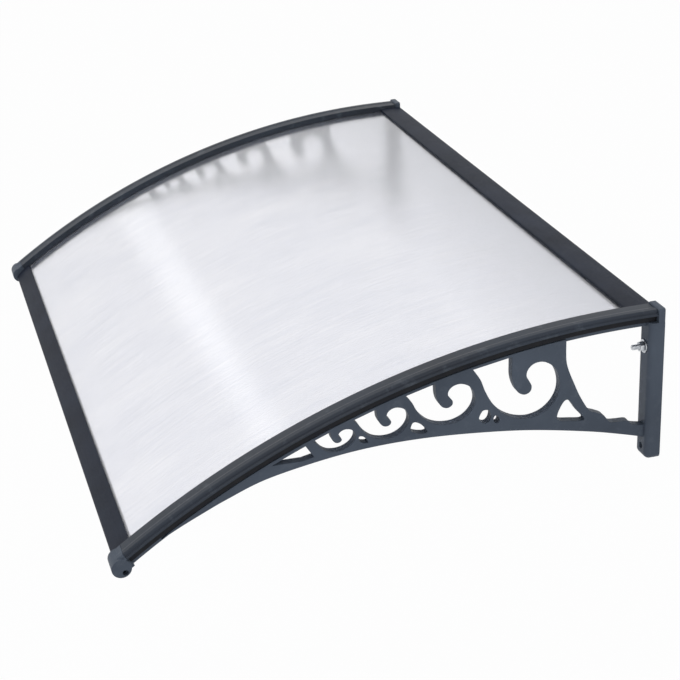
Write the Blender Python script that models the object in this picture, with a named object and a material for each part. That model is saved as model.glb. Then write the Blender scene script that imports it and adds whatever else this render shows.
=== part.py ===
"""Door canopy: an arched clear sheet on two scrolled wall brackets, with cover strips and two bars.

Units are metres. X runs across the door, Y points into the wall and Z is up. The wall is the plane
Y = 0 and the canopy reaches out along -Y. The top of the sheet meets the wall line at Z = 0.
Side shapes are drawn in two coordinates: out (the distance from the wall) and z, or along the arch
as s (the length along the top of the sheet, from the wall) and n (the height above that top).
"""

import math

import bmesh
import bpy
from mathutils import Matrix, Vector

# Overall sizes
WIDTH = 1.200               # over the lips of the two cover strips
REACH = 0.800               # wall to the front bar's outer edge
ARCH_RADIUS = 1.306         # top of the sheet
ARCH_START = 0.038          # the sheet is level up to here, inside the wall bar
ARCH_STEP_DEG = 1.6         # facet angle of everything that follows the arch
GAP = 0.0003                # clearance between pieces that touch

# Sheet
SHEET_THICK = 0.0045
SHEET_SIDE_INSET = 0.010    # sheet edge, in from the canopy's side
SLOT_DEPTH = 0.012          # how deep the bars' slots take the sheet
SLOT_PLAY = 0.001           # free space behind the sheet in a slot

# Cover strips, seen along the arch; x is counted inwards from the canopy's side
STRIP_WIDTH = 0.0352
STRIP_FLAT_RISE = 0.0104    # inner flat above the sheet
STRIP_RIB_RISE = 0.0115     # top of the outer rib above the sheet
STRIP_RIB_WIDTH = 0.0135
STRIP_RIB_ROUND = 0.0038
STRIP_WALL = 0.0024
LIP_OUT = 0.0036            # lip beyond the strip's side wall
LIP_TOP = 0.0062            # lip's upper face above the sheet
LIP_BOTTOM = 0.0034         # lip's lower face above the sheet
STRIP_BACK = 0.0103         # strip's wall end
SCREW_LINE = 0.0290         # screws, in from the canopy's side
STRIP_BOSS_WIDTH = 0.0062

# Edge seals
SEAL_OUTER = 0.0070         # seal's outer face, in from the canopy's side
SEAL_LIP_REACH = 0.0040     # how far the seal's lips reach over the sheet
SEAL_WALL = 0.0020

# Brackets
PLATE_DEPTH = 0.0225
PLATE_WIDTH = 0.0348
PLATE_HEAD_DEPTH = 0.010    # thinner head that stands behind the strip's end
PLATE_HEAD_RISE = 0.0135    # head above the sheet
PLATE_HEAD_FOOT = 0.010     # head's foot inside the plate
PLATE_DROP = 0.222          # plate's lower end below the sheet
PLATE_ROUND = 0.0085        # front edges and lower corners
PLATE_HEAD_ROUND = 0.0030
UPPER_BOLT_Z = -0.047
LOWER_HOLE_Z = -0.205
WALL_HOLE_RADIUS = 0.0045
CHORD_THICK = 0.0102        # the bracket's flange under the sheet
CHORD_SIDE = 0.0143         # flange's outer face, in from the canopy's side
WEB_THICK = 0.014
WEB_SIDE = 0.010            # web's outer face, in from the canopy's side
WEB_OVERLAP = 0.0008        # how far the openings run up into the flange
NOSE_RADIUS = 0.0140
NOSE_BACK = 0.0085          # nose centre behind the front bar's outer edge
NOSE_DROP = 0.0025          # nose centre below the sheet's top
NOSE_HOLE_RADIUS = 0.0042
NOSE_HOLE_DEPTH = 0.014
NOSE_HOLE_DROP = 0.0105     # hole centre below the sheet's top
NOSE_ROUND = 0.0012
NOSE_SIDE = 0.0004          # nose's end faces, in from the strip's sides

# Bars
WALL_BAR_DEPTH = 0.0417
FRONT_BAR_DEPTH = 0.0342
BAR_WALL = 0.0022
WALL_BAR_LIP_RISE = 0.0040  # wall bar's lip above the sheet
FRONT_BAR_LIP_RISE = 0.0026  # front bar's lip above the sheet
WALL_BAR_ROOF = 0.0038      # thickness of the wall bar over its hollow
BAR_CROWN = 0.0010          # extra height in the middle of a bar's top
BAR_DROP = 0.0110           # bar's underside below the sheet's top
FRONT_NOSE_RADIUS = 0.0055  # rounding of the front bar's outer edge
SPIGOT_LENGTH = 0.024
SPIGOT_ROOT = 0.006         # spigot's root inside the bracket
SPIGOT_SCREW_INSET = 0.012  # screw from the bar's end

# Fasteners
STRIP_SCREWS = 5            # on each side
STRIP_SCREW_FIRST = 0.060   # first screw along the arch
STRIP_SCREW_END = 0.055     # last screw before the strip's front end
SCREW_RADIUS = 0.0018
SCREW_HEAD_RADIUS = 0.0036
SCREW_HEAD_HEIGHT = 0.0024
SCREW_HEAD_TAPER = 0.72
SCREW_DRIVE_RADIUS = 0.0016
SCREW_BITE = 0.0070         # thread length inside the strip's boss
BAR_SCREW_BITE = 0.0050
BOLT_RADIUS = 0.0040
BOLT_STAND_OUT = 0.0195     # bolt end beyond the plate's face
WASHER_RADIUS = 0.0100
WASHER_THICK = 0.0016
NUT_ACROSS = 0.0130
NUT_HEIGHT = 0.0065
ROUND_SIDES = 20

# Scroll pattern: each scroll runs between two lengths along the arch, and hangs to a depth below it.
# (wall-side end, front-side end, depth of the bowl)
SCROLLS = (
    (0.1619, 0.2880, 0.1156),
    (0.2935, 0.3905, 0.0829),
    (0.3950, 0.4705, 0.0650),
    (0.4755, 0.5327, 0.0479),
)
# One scroll in a unit box: u runs towards the front, v runs down from the flange to the bowl.
SCROLL_SHAPE = (
    (1.000, 0.000), (0.940, 0.190), (0.915, 0.370), (0.865, 0.570), (0.770, 0.770),
    (0.640, 0.905), (0.500, 0.980), (0.370, 1.000), (0.225, 0.965), (0.105, 0.870),
    (0.030, 0.745), (0.000, 0.600), (0.015, 0.430), (0.070, 0.300), (0.175, 0.205),
    (0.285, 0.195), (0.365, 0.255), (0.395, 0.345), (0.370, 0.440), (0.350, 0.520),
    (0.375, 0.595), (0.445, 0.620), (0.520, 0.565), (0.562, 0.440), (0.572, 0.300),
    (0.555, 0.150), (0.535, 0.000),
)
SCROLL_SHARP = (0, 26)      # the two corners at the flange

# Lower edge of the bracket's arm, from the plate to the flange (out, z)
ARM_LOWER = (
    (0.0080, -0.1926), (0.0572, -0.1778), (0.1117, -0.1635), (0.1964, -0.1462), (0.2766, -0.1358),
    (0.3571, -0.1297), (0.4328, -0.1297), (0.5035, -0.1364), (0.5841, -0.1510), (0.6394, -0.1707),
    (0.6745, -0.1858), (0.7060, -0.2004), (0.7330, -0.2141),
)
# Upper edge of the arm and the wall side of the first stem, from the plate up to the flange
ARM_UPPER = (
    (0.0080, -0.1715), (0.0384, -0.1655), (0.0473, -0.1582), (0.0631, -0.1568), (0.0760, -0.1543),
    (0.0858, -0.1423), (0.0968, -0.1363), (0.1087, -0.1298), (0.1226, -0.1067), (0.1335, -0.0816),
    (0.1410, -0.0625), (0.1450, -0.0453), (0.1455, -0.0156),
)
# Small openings between the scrolls, as (out, z)
STEM_OPENING = ((0.1425, -0.1078), (0.1544, -0.1209), (0.1564, -0.1370), (0.1345, -0.1425),
                (0.1156, -0.1439), (0.1265, -0.1289))
TRIANGLE_OPENING = ((0.3722, -0.1030), (0.3758, -0.1141), (0.3652, -0.1207), (0.3521, -0.1212),
                    (0.3611, -0.1075))
SMALL_OPENING = ((0.4509, -0.1110), (0.4479, -0.1196), (0.4378, -0.1211), (0.4444, -0.1115))
SLANT_OPENING = ((0.2710, -0.1040), (0.2655, -0.1024), (0.2605, -0.1045), (0.2575, -0.1115),
                 (0.2600, -0.1196), (0.2650, -0.1231), (0.2706, -0.1211), (0.2756, -0.1141))
DOT_OPENING = ((0.2540, -0.1181), (0.2520, -0.1140), (0.2485, -0.1145), (0.2455, -0.1196),
               (0.2460, -0.1241), (0.2495, -0.1256), (0.2530, -0.1231))
# Wedge between the last scroll and the arm, as (s, depth)
WEDGE_FIRST = 0.5450
WEDGE_LAST = 0.5980
WEDGE_DEPTH = 0.0300

# Colours: linear RGB, roughness, metallic
SLATE = ((0.055, 0.066, 0.082), 0.50, 0.0)
SLATE_METAL = ((0.060, 0.068, 0.078), 0.45, 0.4)
CLEAR = ((0.760, 0.780, 0.800), 0.20, 0.0)
BLACK_RUBBER = ((0.010, 0.011, 0.013), 0.70, 0.0)
ZINC = ((0.560, 0.570, 0.590), 0.28, 1.0)

# Sizes that follow from the ones above
HALF = WIDTH / 2.0
ARCH_LENGTH = ARCH_START + ARCH_RADIUS * math.asin((REACH - ARCH_START) / ARCH_RADIUS)
BAR_END = HALF - STRIP_WIDTH - GAP
CHORD_TOP = SHEET_THICK + GAP
CHORD_BOTTOM = CHORD_TOP + CHORD_THICK
NOSE_S = ARCH_LENGTH - NOSE_BACK
STRIP_FRONT = NOSE_S - NOSE_RADIUS - 2.0 * GAP
SHEET_BACK = WALL_BAR_DEPTH - SLOT_DEPTH + SLOT_PLAY
SHEET_FRONT = ARCH_LENGTH - FRONT_BAR_DEPTH + SLOT_DEPTH - SLOT_PLAY
SEAL_DROP = SHEET_THICK + GAP + SEAL_WALL
NUT_RADIUS = NUT_ACROSS / math.sqrt(3.0)


def clear_scene():
    """Remove every object that the open file holds."""
    for obj in list(bpy.data.objects):
        bpy.data.objects.remove(obj, do_unlink=True)


def make_collection(name):
    """Return a new collection linked to the scene."""
    group = bpy.data.collections.new(name)
    bpy.context.scene.collection.children.link(group)
    return group


def make_material(name, finish):
    """Return a Principled material from a (colour, roughness, metallic) finish."""
    colour, roughness, metallic = finish
    material = bpy.data.materials.new(name)
    material.use_nodes = True
    shader = material.node_tree.nodes["Principled BSDF"]
    shader.inputs["Base Color"].default_value = (*colour, 1.0)
    shader.inputs["Roughness"].default_value = roughness
    shader.inputs["Metallic"].default_value = metallic
    return material


def mesh_object(name, bm, group):
    """Turn a bmesh into an object in a collection, with its faces pointing out."""
    bmesh.ops.recalc_face_normals(bm, faces=bm.faces)
    mesh = bpy.data.meshes.new(name)
    bm.to_mesh(mesh)
    bm.free()
    obj = bpy.data.objects.new(name, mesh)
    group.objects.link(obj)
    return obj


def arch_point(s, n):
    """Return (out, z) of a point at length s along the sheet's top and height n above it."""
    if s <= ARCH_START:
        return s, n
    angle = (s - ARCH_START) / ARCH_RADIUS
    radius = ARCH_RADIUS + n
    return ARCH_START + radius * math.sin(angle), radius * math.cos(angle) - ARCH_RADIUS


def arch_slope(s):
    """Return how far the arch has turned down at length s, in radians."""
    return max(0.0, (s - ARCH_START) / ARCH_RADIUS)


def arch_stations(first, last):
    """Return the lengths of the shared facet lines between two ends, with both ends."""
    pitch = ARCH_RADIUS * math.radians(ARCH_STEP_DEG)
    lines = [ARCH_START + pitch * i for i in range(int(ARCH_LENGTH / pitch) + 2)]
    inner = [s for s in lines if first + GAP < s < last - GAP]
    return [first] + inner + [last]


def sweep(name, section, first, last, group):
    """Extrude a closed section of (x, n) points facet by facet, then bend it along the arch."""
    bm = bmesh.new()
    stations = arch_stations(first, last)
    face = bm.faces.new([bm.verts.new((x, first, n)) for x, n in section])
    for start, end in zip(stations, stations[1:]):
        grown = bmesh.ops.extrude_face_region(bm, geom=[face, *face.edges])["geom"]
        moved = [v for v in grown if isinstance(v, bmesh.types.BMVert)]
        bmesh.ops.translate(bm, vec=(0.0, end - start, 0.0), verts=moved)
        face = next(f for f in grown if isinstance(f, bmesh.types.BMFace))
    for vert in bm.verts:
        out, z = arch_point(vert.co.y, vert.co.z)
        vert.co = (vert.co.x, -out, z)
    return mesh_object(name, bm, group)


def flat_solid(name, outlines, thickness, matrix, group):
    """Extrude flat closed outlines (holes included) both ways, as one welded mesh."""
    curve = bpy.data.curves.new(name + "_outline", "CURVE")
    curve.dimensions = "2D"
    curve.fill_mode = "BOTH"
    curve.extrude = thickness / 2.0
    for outline in outlines:
        spline = curve.splines.new("POLY")
        spline.points.add(len(outline) - 1)
        for point, (x, y) in zip(spline.points, outline):
            point.co = (x, y, 0.0, 1.0)
        spline.use_cyclic_u = True
    source = bpy.data.objects.new(name + "_outline", curve)
    group.objects.link(source)
    source.matrix_world = matrix
    bpy.context.view_layer.update()
    evaluated = source.evaluated_get(bpy.context.evaluated_depsgraph_get())
    mesh = bpy.data.meshes.new_from_object(evaluated)
    bm = bmesh.new()
    bm.from_mesh(mesh)
    bmesh.ops.remove_doubles(bm, verts=bm.verts, dist=0.00002)
    bmesh.ops.recalc_face_normals(bm, faces=bm.faces)
    bm.to_mesh(mesh)
    bm.free()
    solid = bpy.data.objects.new(name, mesh)
    solid.matrix_world = source.matrix_world
    group.objects.link(solid)
    bpy.data.objects.remove(source, do_unlink=True)
    return solid


def side_view(x):
    """Return the matrix that stands a flat (out, z) drawing up at a place across the width."""
    return Matrix(((0.0, 0.0, -1.0, x), (-1.0, 0.0, 0.0, 0.0), (0.0, 1.0, 0.0, 0.0),
                   (0.0, 0.0, 0.0, 1.0)))


def box(name, low, high, group, bevel=0.0, pick=None, segments=4):
    """Return a box between two corners; edges that pick accepts are rounded."""
    bm = bmesh.new()
    bmesh.ops.create_cube(bm, size=1.0)
    size = Vector(high) - Vector(low)
    centre = (Vector(high) + Vector(low)) / 2.0
    bmesh.ops.scale(bm, vec=size, verts=bm.verts)
    bmesh.ops.translate(bm, vec=centre, verts=bm.verts)
    if bevel and pick:
        edges = [e for e in bm.edges if pick((e.verts[0].co + e.verts[1].co) / 2.0 - centre, size)]
        bmesh.ops.bevel(bm, geom=edges, offset=bevel, segments=segments, profile=0.5,
                        affect="EDGES")
    return mesh_object(name, bm, group)


def cylinder(name, centre, axis, radius, length, group, sides=ROUND_SIDES, turn=0.0, taper=1.0):
    """Return a cylinder (or cone) centred on a point and pointing along an axis."""
    bm = bmesh.new()
    spin = Matrix.Rotation(turn, 4, "Z")
    aim = Vector(axis).normalized().to_track_quat("Z", "Y").to_matrix().to_4x4()
    bmesh.ops.create_cone(bm, cap_ends=True, segments=sides, radius1=radius, radius2=radius * taper,
                          depth=length, matrix=Matrix.Translation(centre) @ aim @ spin)
    return mesh_object(name, bm, group)


def combine(target, tools, operation):
    """Join shapes to a piece, or cut them all away, in one step, and apply the result."""
    group = bpy.data.collections.new("tools")
    for tool in tools:
        group.objects.link(tool)
    step = target.modifiers.new("combine", "BOOLEAN")
    step.operation = operation
    step.operand_type = "COLLECTION"
    step.collection = group
    step.solver = "EXACT"
    bpy.context.view_layer.update()
    evaluated = target.evaluated_get(bpy.context.evaluated_depsgraph_get())
    mesh = bpy.data.meshes.new_from_object(evaluated)
    target.modifiers.remove(step)
    target.data = mesh
    bpy.data.collections.remove(group)


def discard(tools):
    """Remove shapes that have done their cutting or joining."""
    for tool in tools:
        bpy.data.objects.remove(tool, do_unlink=True)


def smooth_round(obj, angle_deg=35.0):
    """Shade the round faces of a piece smooth and keep its edges sharp."""
    obj.data.shade_smooth()
    obj.data.set_sharp_from_angle(angle=math.radians(angle_deg))


def finish(obj, material):
    """Give a piece its material and its shading."""
    obj.data.materials.clear()
    obj.data.materials.append(material)
    smooth_round(obj)


def curve_through(points, sharp=(), steps=5, closed=True):
    """Return points along a smooth curve through a few hand-placed points."""
    count = len(points)
    result = []
    for i in range(count if closed else count - 1):
        p1 = Vector(points[i])
        p2 = Vector(points[(i + 1) % count])
        before = Vector(points[i - 1]) if closed or i > 0 else p1
        after = Vector(points[(i + 2) % count]) if closed or i + 2 < count else p2
        if i in sharp:
            before = p1
        if (i + 1) % count in sharp:
            after = p2
        start = (p2 - before) / 2.0
        end = (after - p1) / 2.0
        for k in range(steps):
            t = k / steps
            h1 = 2 * t ** 3 - 3 * t ** 2 + 1
            h2 = t ** 3 - 2 * t ** 2 + t
            h3 = -2 * t ** 3 + 3 * t ** 2
            h4 = t ** 3 - t ** 2
            result.append(tuple(h1 * p1 + h2 * start + h3 * p2 + h4 * end))
    if not closed:
        result.append(tuple(points[-1]))
    return result


def arc(centre, radius, start_deg, end_deg, steps):
    """Return points on a circular arc, both ends included."""
    result = []
    for k in range(steps + 1):
        angle = math.radians(start_deg + (end_deg - start_deg) * k / steps)
        result.append((centre[0] + radius * math.cos(angle), centre[1] + radius * math.sin(angle)))
    return result


def strip_top():
    """Return the strip's outer outline over the top, from its inner foot to the lip's lower edge."""
    inner = STRIP_WIDTH
    rib_outer = LIP_OUT
    rib_inner = rib_outer + STRIP_RIB_WIDTH
    round_low = STRIP_FLAT_RISE - STRIP_RIB_ROUND
    centre_n = STRIP_RIB_RISE - STRIP_RIB_ROUND
    points = [(inner, GAP)]
    points += [(inner - 0.0012, STRIP_FLAT_RISE - 0.0006), (inner - 0.0022, STRIP_FLAT_RISE)]
    foot = STRIP_FLAT_RISE + (STRIP_RIB_RISE - STRIP_FLAT_RISE) * 0.25
    points += [(rib_inner + 0.0020, STRIP_FLAT_RISE), (rib_inner - 0.0004, foot)]
    points += arc((rib_inner - STRIP_RIB_ROUND, centre_n), STRIP_RIB_ROUND, 62, 90, 2)
    points += arc((rib_outer + STRIP_RIB_ROUND, centre_n), STRIP_RIB_ROUND, 90, 180, 5)
    points += [(rib_outer, max(LIP_TOP + 0.0004, round_low)), (rib_outer - 0.0006, LIP_TOP)]
    points += [(0.0008, LIP_TOP - 0.0005), (0.0, LIP_TOP - 0.0013), (0.0, LIP_BOTTOM)]
    return points


def strip_section():
    """Return the closed section of a cover strip, with its screw boss, as (inset, n)."""
    wall = STRIP_WALL
    boss_in = SCREW_LINE + STRIP_BOSS_WIDTH / 2.0
    boss_out = SCREW_LINE - STRIP_BOSS_WIDTH / 2.0
    side = LIP_OUT + wall
    flat = STRIP_FLAT_RISE - wall
    inside = [(side, LIP_BOTTOM), (side, STRIP_RIB_RISE - wall - 0.0010)]
    inside += [(side + 0.0012, STRIP_RIB_RISE - wall)]
    inside += [(LIP_OUT + STRIP_RIB_WIDTH - 0.0035, STRIP_RIB_RISE - wall)]
    inside += [(LIP_OUT + STRIP_RIB_WIDTH - 0.0010, flat), (boss_out, flat)]
    inside += [(boss_out, GAP), (STRIP_WIDTH, GAP)]
    if boss_in < STRIP_WIDTH - wall:
        inside[-1:] = [(boss_in, GAP), (boss_in, flat), (STRIP_WIDTH - wall, flat),
                       (STRIP_WIDTH - wall, GAP)]
    return strip_top() + inside


def seal_section():
    """Return the closed U section of an edge seal as (inset, n)."""
    outer = SEAL_OUTER
    web = outer + SHEET_SIDE_INSET - SEAL_OUTER - GAP
    tip = SHEET_SIDE_INSET + SEAL_LIP_REACH
    top = GAP
    low = -SHEET_THICK - GAP
    return [(outer, top + SEAL_WALL), (tip, top + SEAL_WALL), (tip, top), (web, top), (web, low),
            (tip, low), (tip, low - SEAL_WALL), (outer, low - SEAL_WALL)]


def to_side(section, side):
    """Turn (inset, n) points into (x, n) points on one side of the canopy."""
    return [(side * (HALF - inset), n) for inset, n in section]


def wall_bar_outlines():
    """Return the wall bar's outline and its hollow as (out, z)."""
    depth = WALL_BAR_DEPTH
    slot_back = depth - SLOT_DEPTH
    crown = []
    for k in range(9):
        t = k / 8.0
        rise = WALL_BAR_LIP_RISE + 4.0 * BAR_CROWN * t * (1.0 - t)
        crown.append((0.0006 + (depth - 0.0012) * t, rise))
    outer = [(0.0, WALL_BAR_LIP_RISE - 0.0006)] + crown + [(depth, WALL_BAR_LIP_RISE - 0.0006)]
    outer += [(depth, GAP), (slot_back, GAP), (slot_back, -SHEET_THICK - GAP)]
    outer += [(depth, -SHEET_THICK - GAP), (depth, -BAR_DROP), (0.0, -BAR_DROP)]
    hollow = [(BAR_WALL, -BAR_DROP + BAR_WALL), (slot_back - BAR_WALL, -BAR_DROP + BAR_WALL),
              (slot_back - BAR_WALL, WALL_BAR_LIP_RISE - WALL_BAR_ROOF),
              (BAR_WALL, WALL_BAR_LIP_RISE - WALL_BAR_ROOF)]
    return outer, hollow


def front_bar_local():
    """Return the front bar's outline and hollow as (back from its outer edge, n)."""
    depth = FRONT_BAR_DEPTH
    radius = FRONT_NOSE_RADIUS
    slot_back = depth - SLOT_DEPTH
    top_front = FRONT_BAR_LIP_RISE - 0.0022
    outer = [(depth, GAP), (depth, FRONT_BAR_LIP_RISE - 0.0006), (depth - 0.0006, FRONT_BAR_LIP_RISE)]
    for k in range(1, 8):
        t = k / 8.0
        back = depth - (depth - radius) * t
        line = FRONT_BAR_LIP_RISE + (top_front - FRONT_BAR_LIP_RISE) * t
        outer.append((back, line + 4.0 * BAR_CROWN * t * (1.0 - t)))
    outer += arc((radius, top_front - radius), radius, 90, 180, 5)
    outer += [(0.0, -BAR_DROP + 0.0010), (0.0010, -BAR_DROP), (depth, -BAR_DROP)]
    outer += [(depth, -SHEET_THICK - GAP), (slot_back, -SHEET_THICK - GAP), (slot_back, GAP)]
    hollow_top = top_front - BAR_WALL - 0.0006
    hollow = [(BAR_WALL + 0.0012, -BAR_DROP + BAR_WALL), (BAR_WALL + 0.0012, hollow_top - 0.0020),
              (BAR_WALL + 0.0032, hollow_top), (slot_back - BAR_WALL, hollow_top),
              (slot_back - BAR_WALL, -BAR_DROP + BAR_WALL)]
    return outer, hollow


def front_bar_side(points):
    """Place (back, n) points of the front bar in the side view, square to the arch at its end."""
    slope = arch_slope(ARCH_LENGTH)
    out, z = arch_point(ARCH_LENGTH, 0.0)
    along = (math.cos(slope), -math.sin(slope))
    up = (math.sin(slope), math.cos(slope))
    return [(out - along[0] * b + up[0] * (n + arch_lift(b)),
             z - along[1] * b + up[1] * (n + arch_lift(b))) for b, n in points]


def arch_lift(back):
    """Return how far the arch's top lies below its end tangent at a distance back from the end."""
    return -back * back / (2.0 * ARCH_RADIUS)


def scroll_outline(first, last, depth):
    """Return one scroll opening in the side view."""
    top = CHORD_BOTTOM - WEB_OVERLAP
    points = []
    for u, v in SCROLL_SHAPE:
        s = first + (last - first) * u
        points.append(arch_point(s, -top - (depth - top) * v))
    return curve_through(points, sharp=SCROLL_SHARP, steps=2)


def wedge_outline():
    """Return the opening between the last scroll, the flange and the arm."""
    top = [arch_point(WEDGE_FIRST + (WEDGE_LAST - WEDGE_FIRST) * k / 6.0, -CHORD_BOTTOM)
           for k in range(7)]
    low = [arch_point(WEDGE_FIRST + 0.0300, -CHORD_BOTTOM - WEDGE_DEPTH * 0.34),
           arch_point(WEDGE_FIRST + 0.0130, -CHORD_BOTTOM - WEDGE_DEPTH * 0.60),
           arch_point(WEDGE_FIRST - 0.0035, -CHORD_BOTTOM - WEDGE_DEPTH * 0.70)]
    return top + low


def web_outlines():
    """Return the bracket web's outer outline and all its openings in the side view."""
    lower = curve_through(ARM_LOWER, steps=4, closed=False)
    upper = curve_through(ARM_UPPER, steps=4, closed=False)
    middle = (CHORD_TOP + CHORD_BOTTOM) / 2.0
    stem_top = upper[-1][0] + 0.002
    lines = [s for s in arch_stations(0.0, ARCH_LENGTH) if stem_top < arch_point(s, 0.0)[0]]
    chord = [arch_point(s, -middle) for s in lines if arch_point(s, 0.0)[0] < lower[-1][0] - 0.006]
    outer = upper + chord + list(reversed(lower))
    holes = [scroll_outline(*scroll) for scroll in SCROLLS]
    for opening in (STEM_OPENING, TRIANGLE_OPENING, SMALL_OPENING, SLANT_OPENING, DOT_OPENING):
        holes.append(curve_through(opening, steps=3))
    holes.append(wedge_outline())
    return [outer] + holes


def chord_section():
    """Return the bracket's flange under the sheet as (inset, n)."""
    return [(CHORD_SIDE, -CHORD_TOP), (STRIP_WIDTH, -CHORD_TOP), (STRIP_WIDTH, -CHORD_BOTTOM),
            (CHORD_SIDE, -CHORD_BOTTOM)]


def shoulder_section():
    """Return the solid shoulder that carries the strip's outline on to the nose."""
    top = strip_top()
    top[0] = (STRIP_WIDTH, -CHORD_BOTTOM)
    return top + [(SEAL_OUTER, LIP_BOTTOM), (SEAL_OUTER, -CHORD_BOTTOM)]


def span(side, inset_a, inset_b):
    """Return the low and high x between two insets on one side."""
    ends = (side * (HALF - inset_a), side * (HALF - inset_b))
    return min(ends), max(ends)


def make_plate(side, parts):
    """Return the bracket's wall plate and its thinner head."""
    x0, x1 = span(side, 0.0, PLATE_WIDTH)
    body_top = -SEAL_DROP - GAP

    def front_or_low(mid, size):
        front = mid.y < -size.y * 0.4
        return (front and mid.z < size.z * 0.4) or (mid.z < -size.z * 0.4 and abs(mid.y) < GAP)

    def head_edges(mid, size):
        return mid.z > size.z * 0.4 and mid.y < size.y * 0.4

    plate = box("plate", (x0, -PLATE_DEPTH, -PLATE_DROP), (x1, 0.0, body_top), parts,
                PLATE_ROUND, front_or_low)
    head = box("head", (x0 + GAP, -PLATE_HEAD_DEPTH, body_top - PLATE_HEAD_FOOT),
               (x1 - GAP, 0.0, PLATE_HEAD_RISE), parts, PLATE_HEAD_ROUND, head_edges, 3)
    return plate, head


def make_spigots(side, parts):
    """Return the two tongues that carry the bars' ends."""
    x0, x1 = span(side, STRIP_WIDTH - SPIGOT_ROOT, STRIP_WIDTH + SPIGOT_LENGTH)
    _, hollow = wall_bar_outlines()
    (out0, z0), (out1, _), (_, z1) = hollow[:3]
    wall = box("wall_spigot", (x0, -out1 + GAP, z0 + GAP), (x1, -out0 - GAP, z1 - GAP), parts)
    _, front_hollow = front_bar_local()
    back0 = max(b for b, _ in front_hollow[:3]) + GAP
    back1 = max(b for b, _ in front_hollow) - GAP
    n0 = min(n for _, n in front_hollow) + GAP
    n1 = max(n for _, n in front_hollow) - GAP
    inner = [(back0, n0), (back1, n0), (back1, n1), (back0, n1)]
    front = flat_solid("front_spigot", [front_bar_side(inner)], x1 - x0,
                       side_view((x0 + x1) / 2.0), parts)
    return wall, front


def make_nose(side, parts):
    """Return the rounded nose at the bracket's front end, and its shoulder."""
    x0, x1 = span(side, NOSE_SIDE, STRIP_WIDTH - NOSE_SIDE)
    out, z = arch_point(NOSE_S, -NOSE_DROP)
    nose = cylinder("nose", ((x0 + x1) / 2.0, -out, z), (1, 0, 0), NOSE_RADIUS, x1 - x0, parts,
                    sides=28)
    bm = bmesh.new()
    bm.from_mesh(nose.data)
    rims = [e for e in bm.edges if any(len(f.verts) > 4 for f in e.link_faces)]
    bmesh.ops.bevel(bm, geom=rims, offset=NOSE_ROUND, segments=2, profile=0.5, affect="EDGES")
    bm.to_mesh(nose.data)
    bm.free()
    shoulder = sweep("shoulder", to_side(shoulder_section(), side), STRIP_FRONT + GAP, NOSE_S, parts)
    return nose, shoulder


def make_bracket(side, label, parts):
    """Build one bracket moulding: plate, arm with scrolls, flange, bar spigots and nose."""
    web_x = side * (HALF - WEB_SIDE - WEB_THICK / 2.0)
    bracket = flat_solid("bracket_" + label, web_outlines(), WEB_THICK, side_view(web_x), parts)
    bracket.data.transform(bracket.matrix_world)
    bracket.matrix_world = Matrix.Identity(4)
    chord = sweep("chord", to_side(chord_section(), side), PLATE_DEPTH / 2.0, NOSE_S, parts)
    x0, x1 = span(side, CHORD_SIDE + GAP, STRIP_WIDTH - GAP)
    step = box("step", (x0, -SHEET_BACK + GAP, -CHORD_BOTTOM + CHORD_THICK / 2.0),
               (x1, -PLATE_HEAD_DEPTH / 2.0, 0.0), parts)
    solids = [chord, step, *make_plate(side, parts), *make_spigots(side, parts),
              *make_nose(side, parts)]
    combine(bracket, solids, "UNION")
    discard(solids)
    return bracket


def bracket_holes(side, parts):
    """Return the cutters of the wall bolt holes and of the hole in the nose."""
    middle = side * (HALF - STRIP_WIDTH / 2.0)
    holes = [cylinder("wall_hole", (middle, -PLATE_DEPTH / 2.0, z), (0, 1, 0), WALL_HOLE_RADIUS,
                      PLATE_DEPTH * 2.0, parts) for z in (UPPER_BOLT_Z, LOWER_HOLE_Z)]
    out, z = arch_point(NOSE_S, -NOSE_HOLE_DROP)
    holes.append(cylinder("nose_hole", (side * HALF, -out, z), (1, 0, 0), NOSE_HOLE_RADIUS,
                          NOSE_HOLE_DEPTH * 2.0, parts))
    return holes


def screw_lengths():
    """Return the lengths along the arch of one side's strip screws."""
    first = STRIP_SCREW_FIRST
    last = STRIP_FRONT - STRIP_SCREW_END
    return [first + (last - first) * k / (STRIP_SCREWS - 1) for k in range(STRIP_SCREWS)]


def arch_up(s):
    """Return the unit direction away from the sheet's top at length s."""
    slope = arch_slope(s)
    return Vector((0.0, -math.sin(slope), math.cos(slope)))


def make_screw(name, seat, up, length, parts):
    """Build one pan-head screw whose head lies under its seat and whose shank points up."""
    low = seat - up * (SCREW_HEAD_HEIGHT + GAP)
    head = cylinder(name, seat - up * (SCREW_HEAD_HEIGHT / 2.0 + GAP), -up, SCREW_HEAD_RADIUS,
                    SCREW_HEAD_HEIGHT, parts, sides=16, taper=SCREW_HEAD_TAPER)
    tail = low + up * (SCREW_HEAD_HEIGHT * 0.8)
    tip = seat + up * (length - GAP)
    shank = cylinder("shank", (tail + tip) / 2.0, up, SCREW_RADIUS - GAP, (tip - tail).length,
                     parts, sides=12)
    drive = cylinder("drive", low, up, SCREW_DRIVE_RADIUS, SCREW_HEAD_HEIGHT, parts, sides=6)
    combine(head, [shank], "UNION")
    combine(head, [drive], "DIFFERENCE")
    discard([shank, drive])
    return head


def make_drill(seat, up, length, parts):
    """Return the cutter of a screw hole that starts just under the screw's seat."""
    start = seat - up * (2.0 * GAP)
    end = seat + up * (length + GAP)
    return cylinder("drill", (start + end) / 2.0, up, SCREW_RADIUS, (end - start).length, parts,
                    sides=12)


def strip_seats(side):
    """Return (seat, up, shank length) of one side's strip screws, under the bracket's flange."""
    x = side * (HALF - SCREW_LINE)
    seats = []
    for s in screw_lengths():
        out, z = arch_point(s, -CHORD_BOTTOM)
        seats.append((Vector((x, -out, z)), arch_up(s), CHORD_BOTTOM + SCREW_BITE))
    return seats


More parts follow.
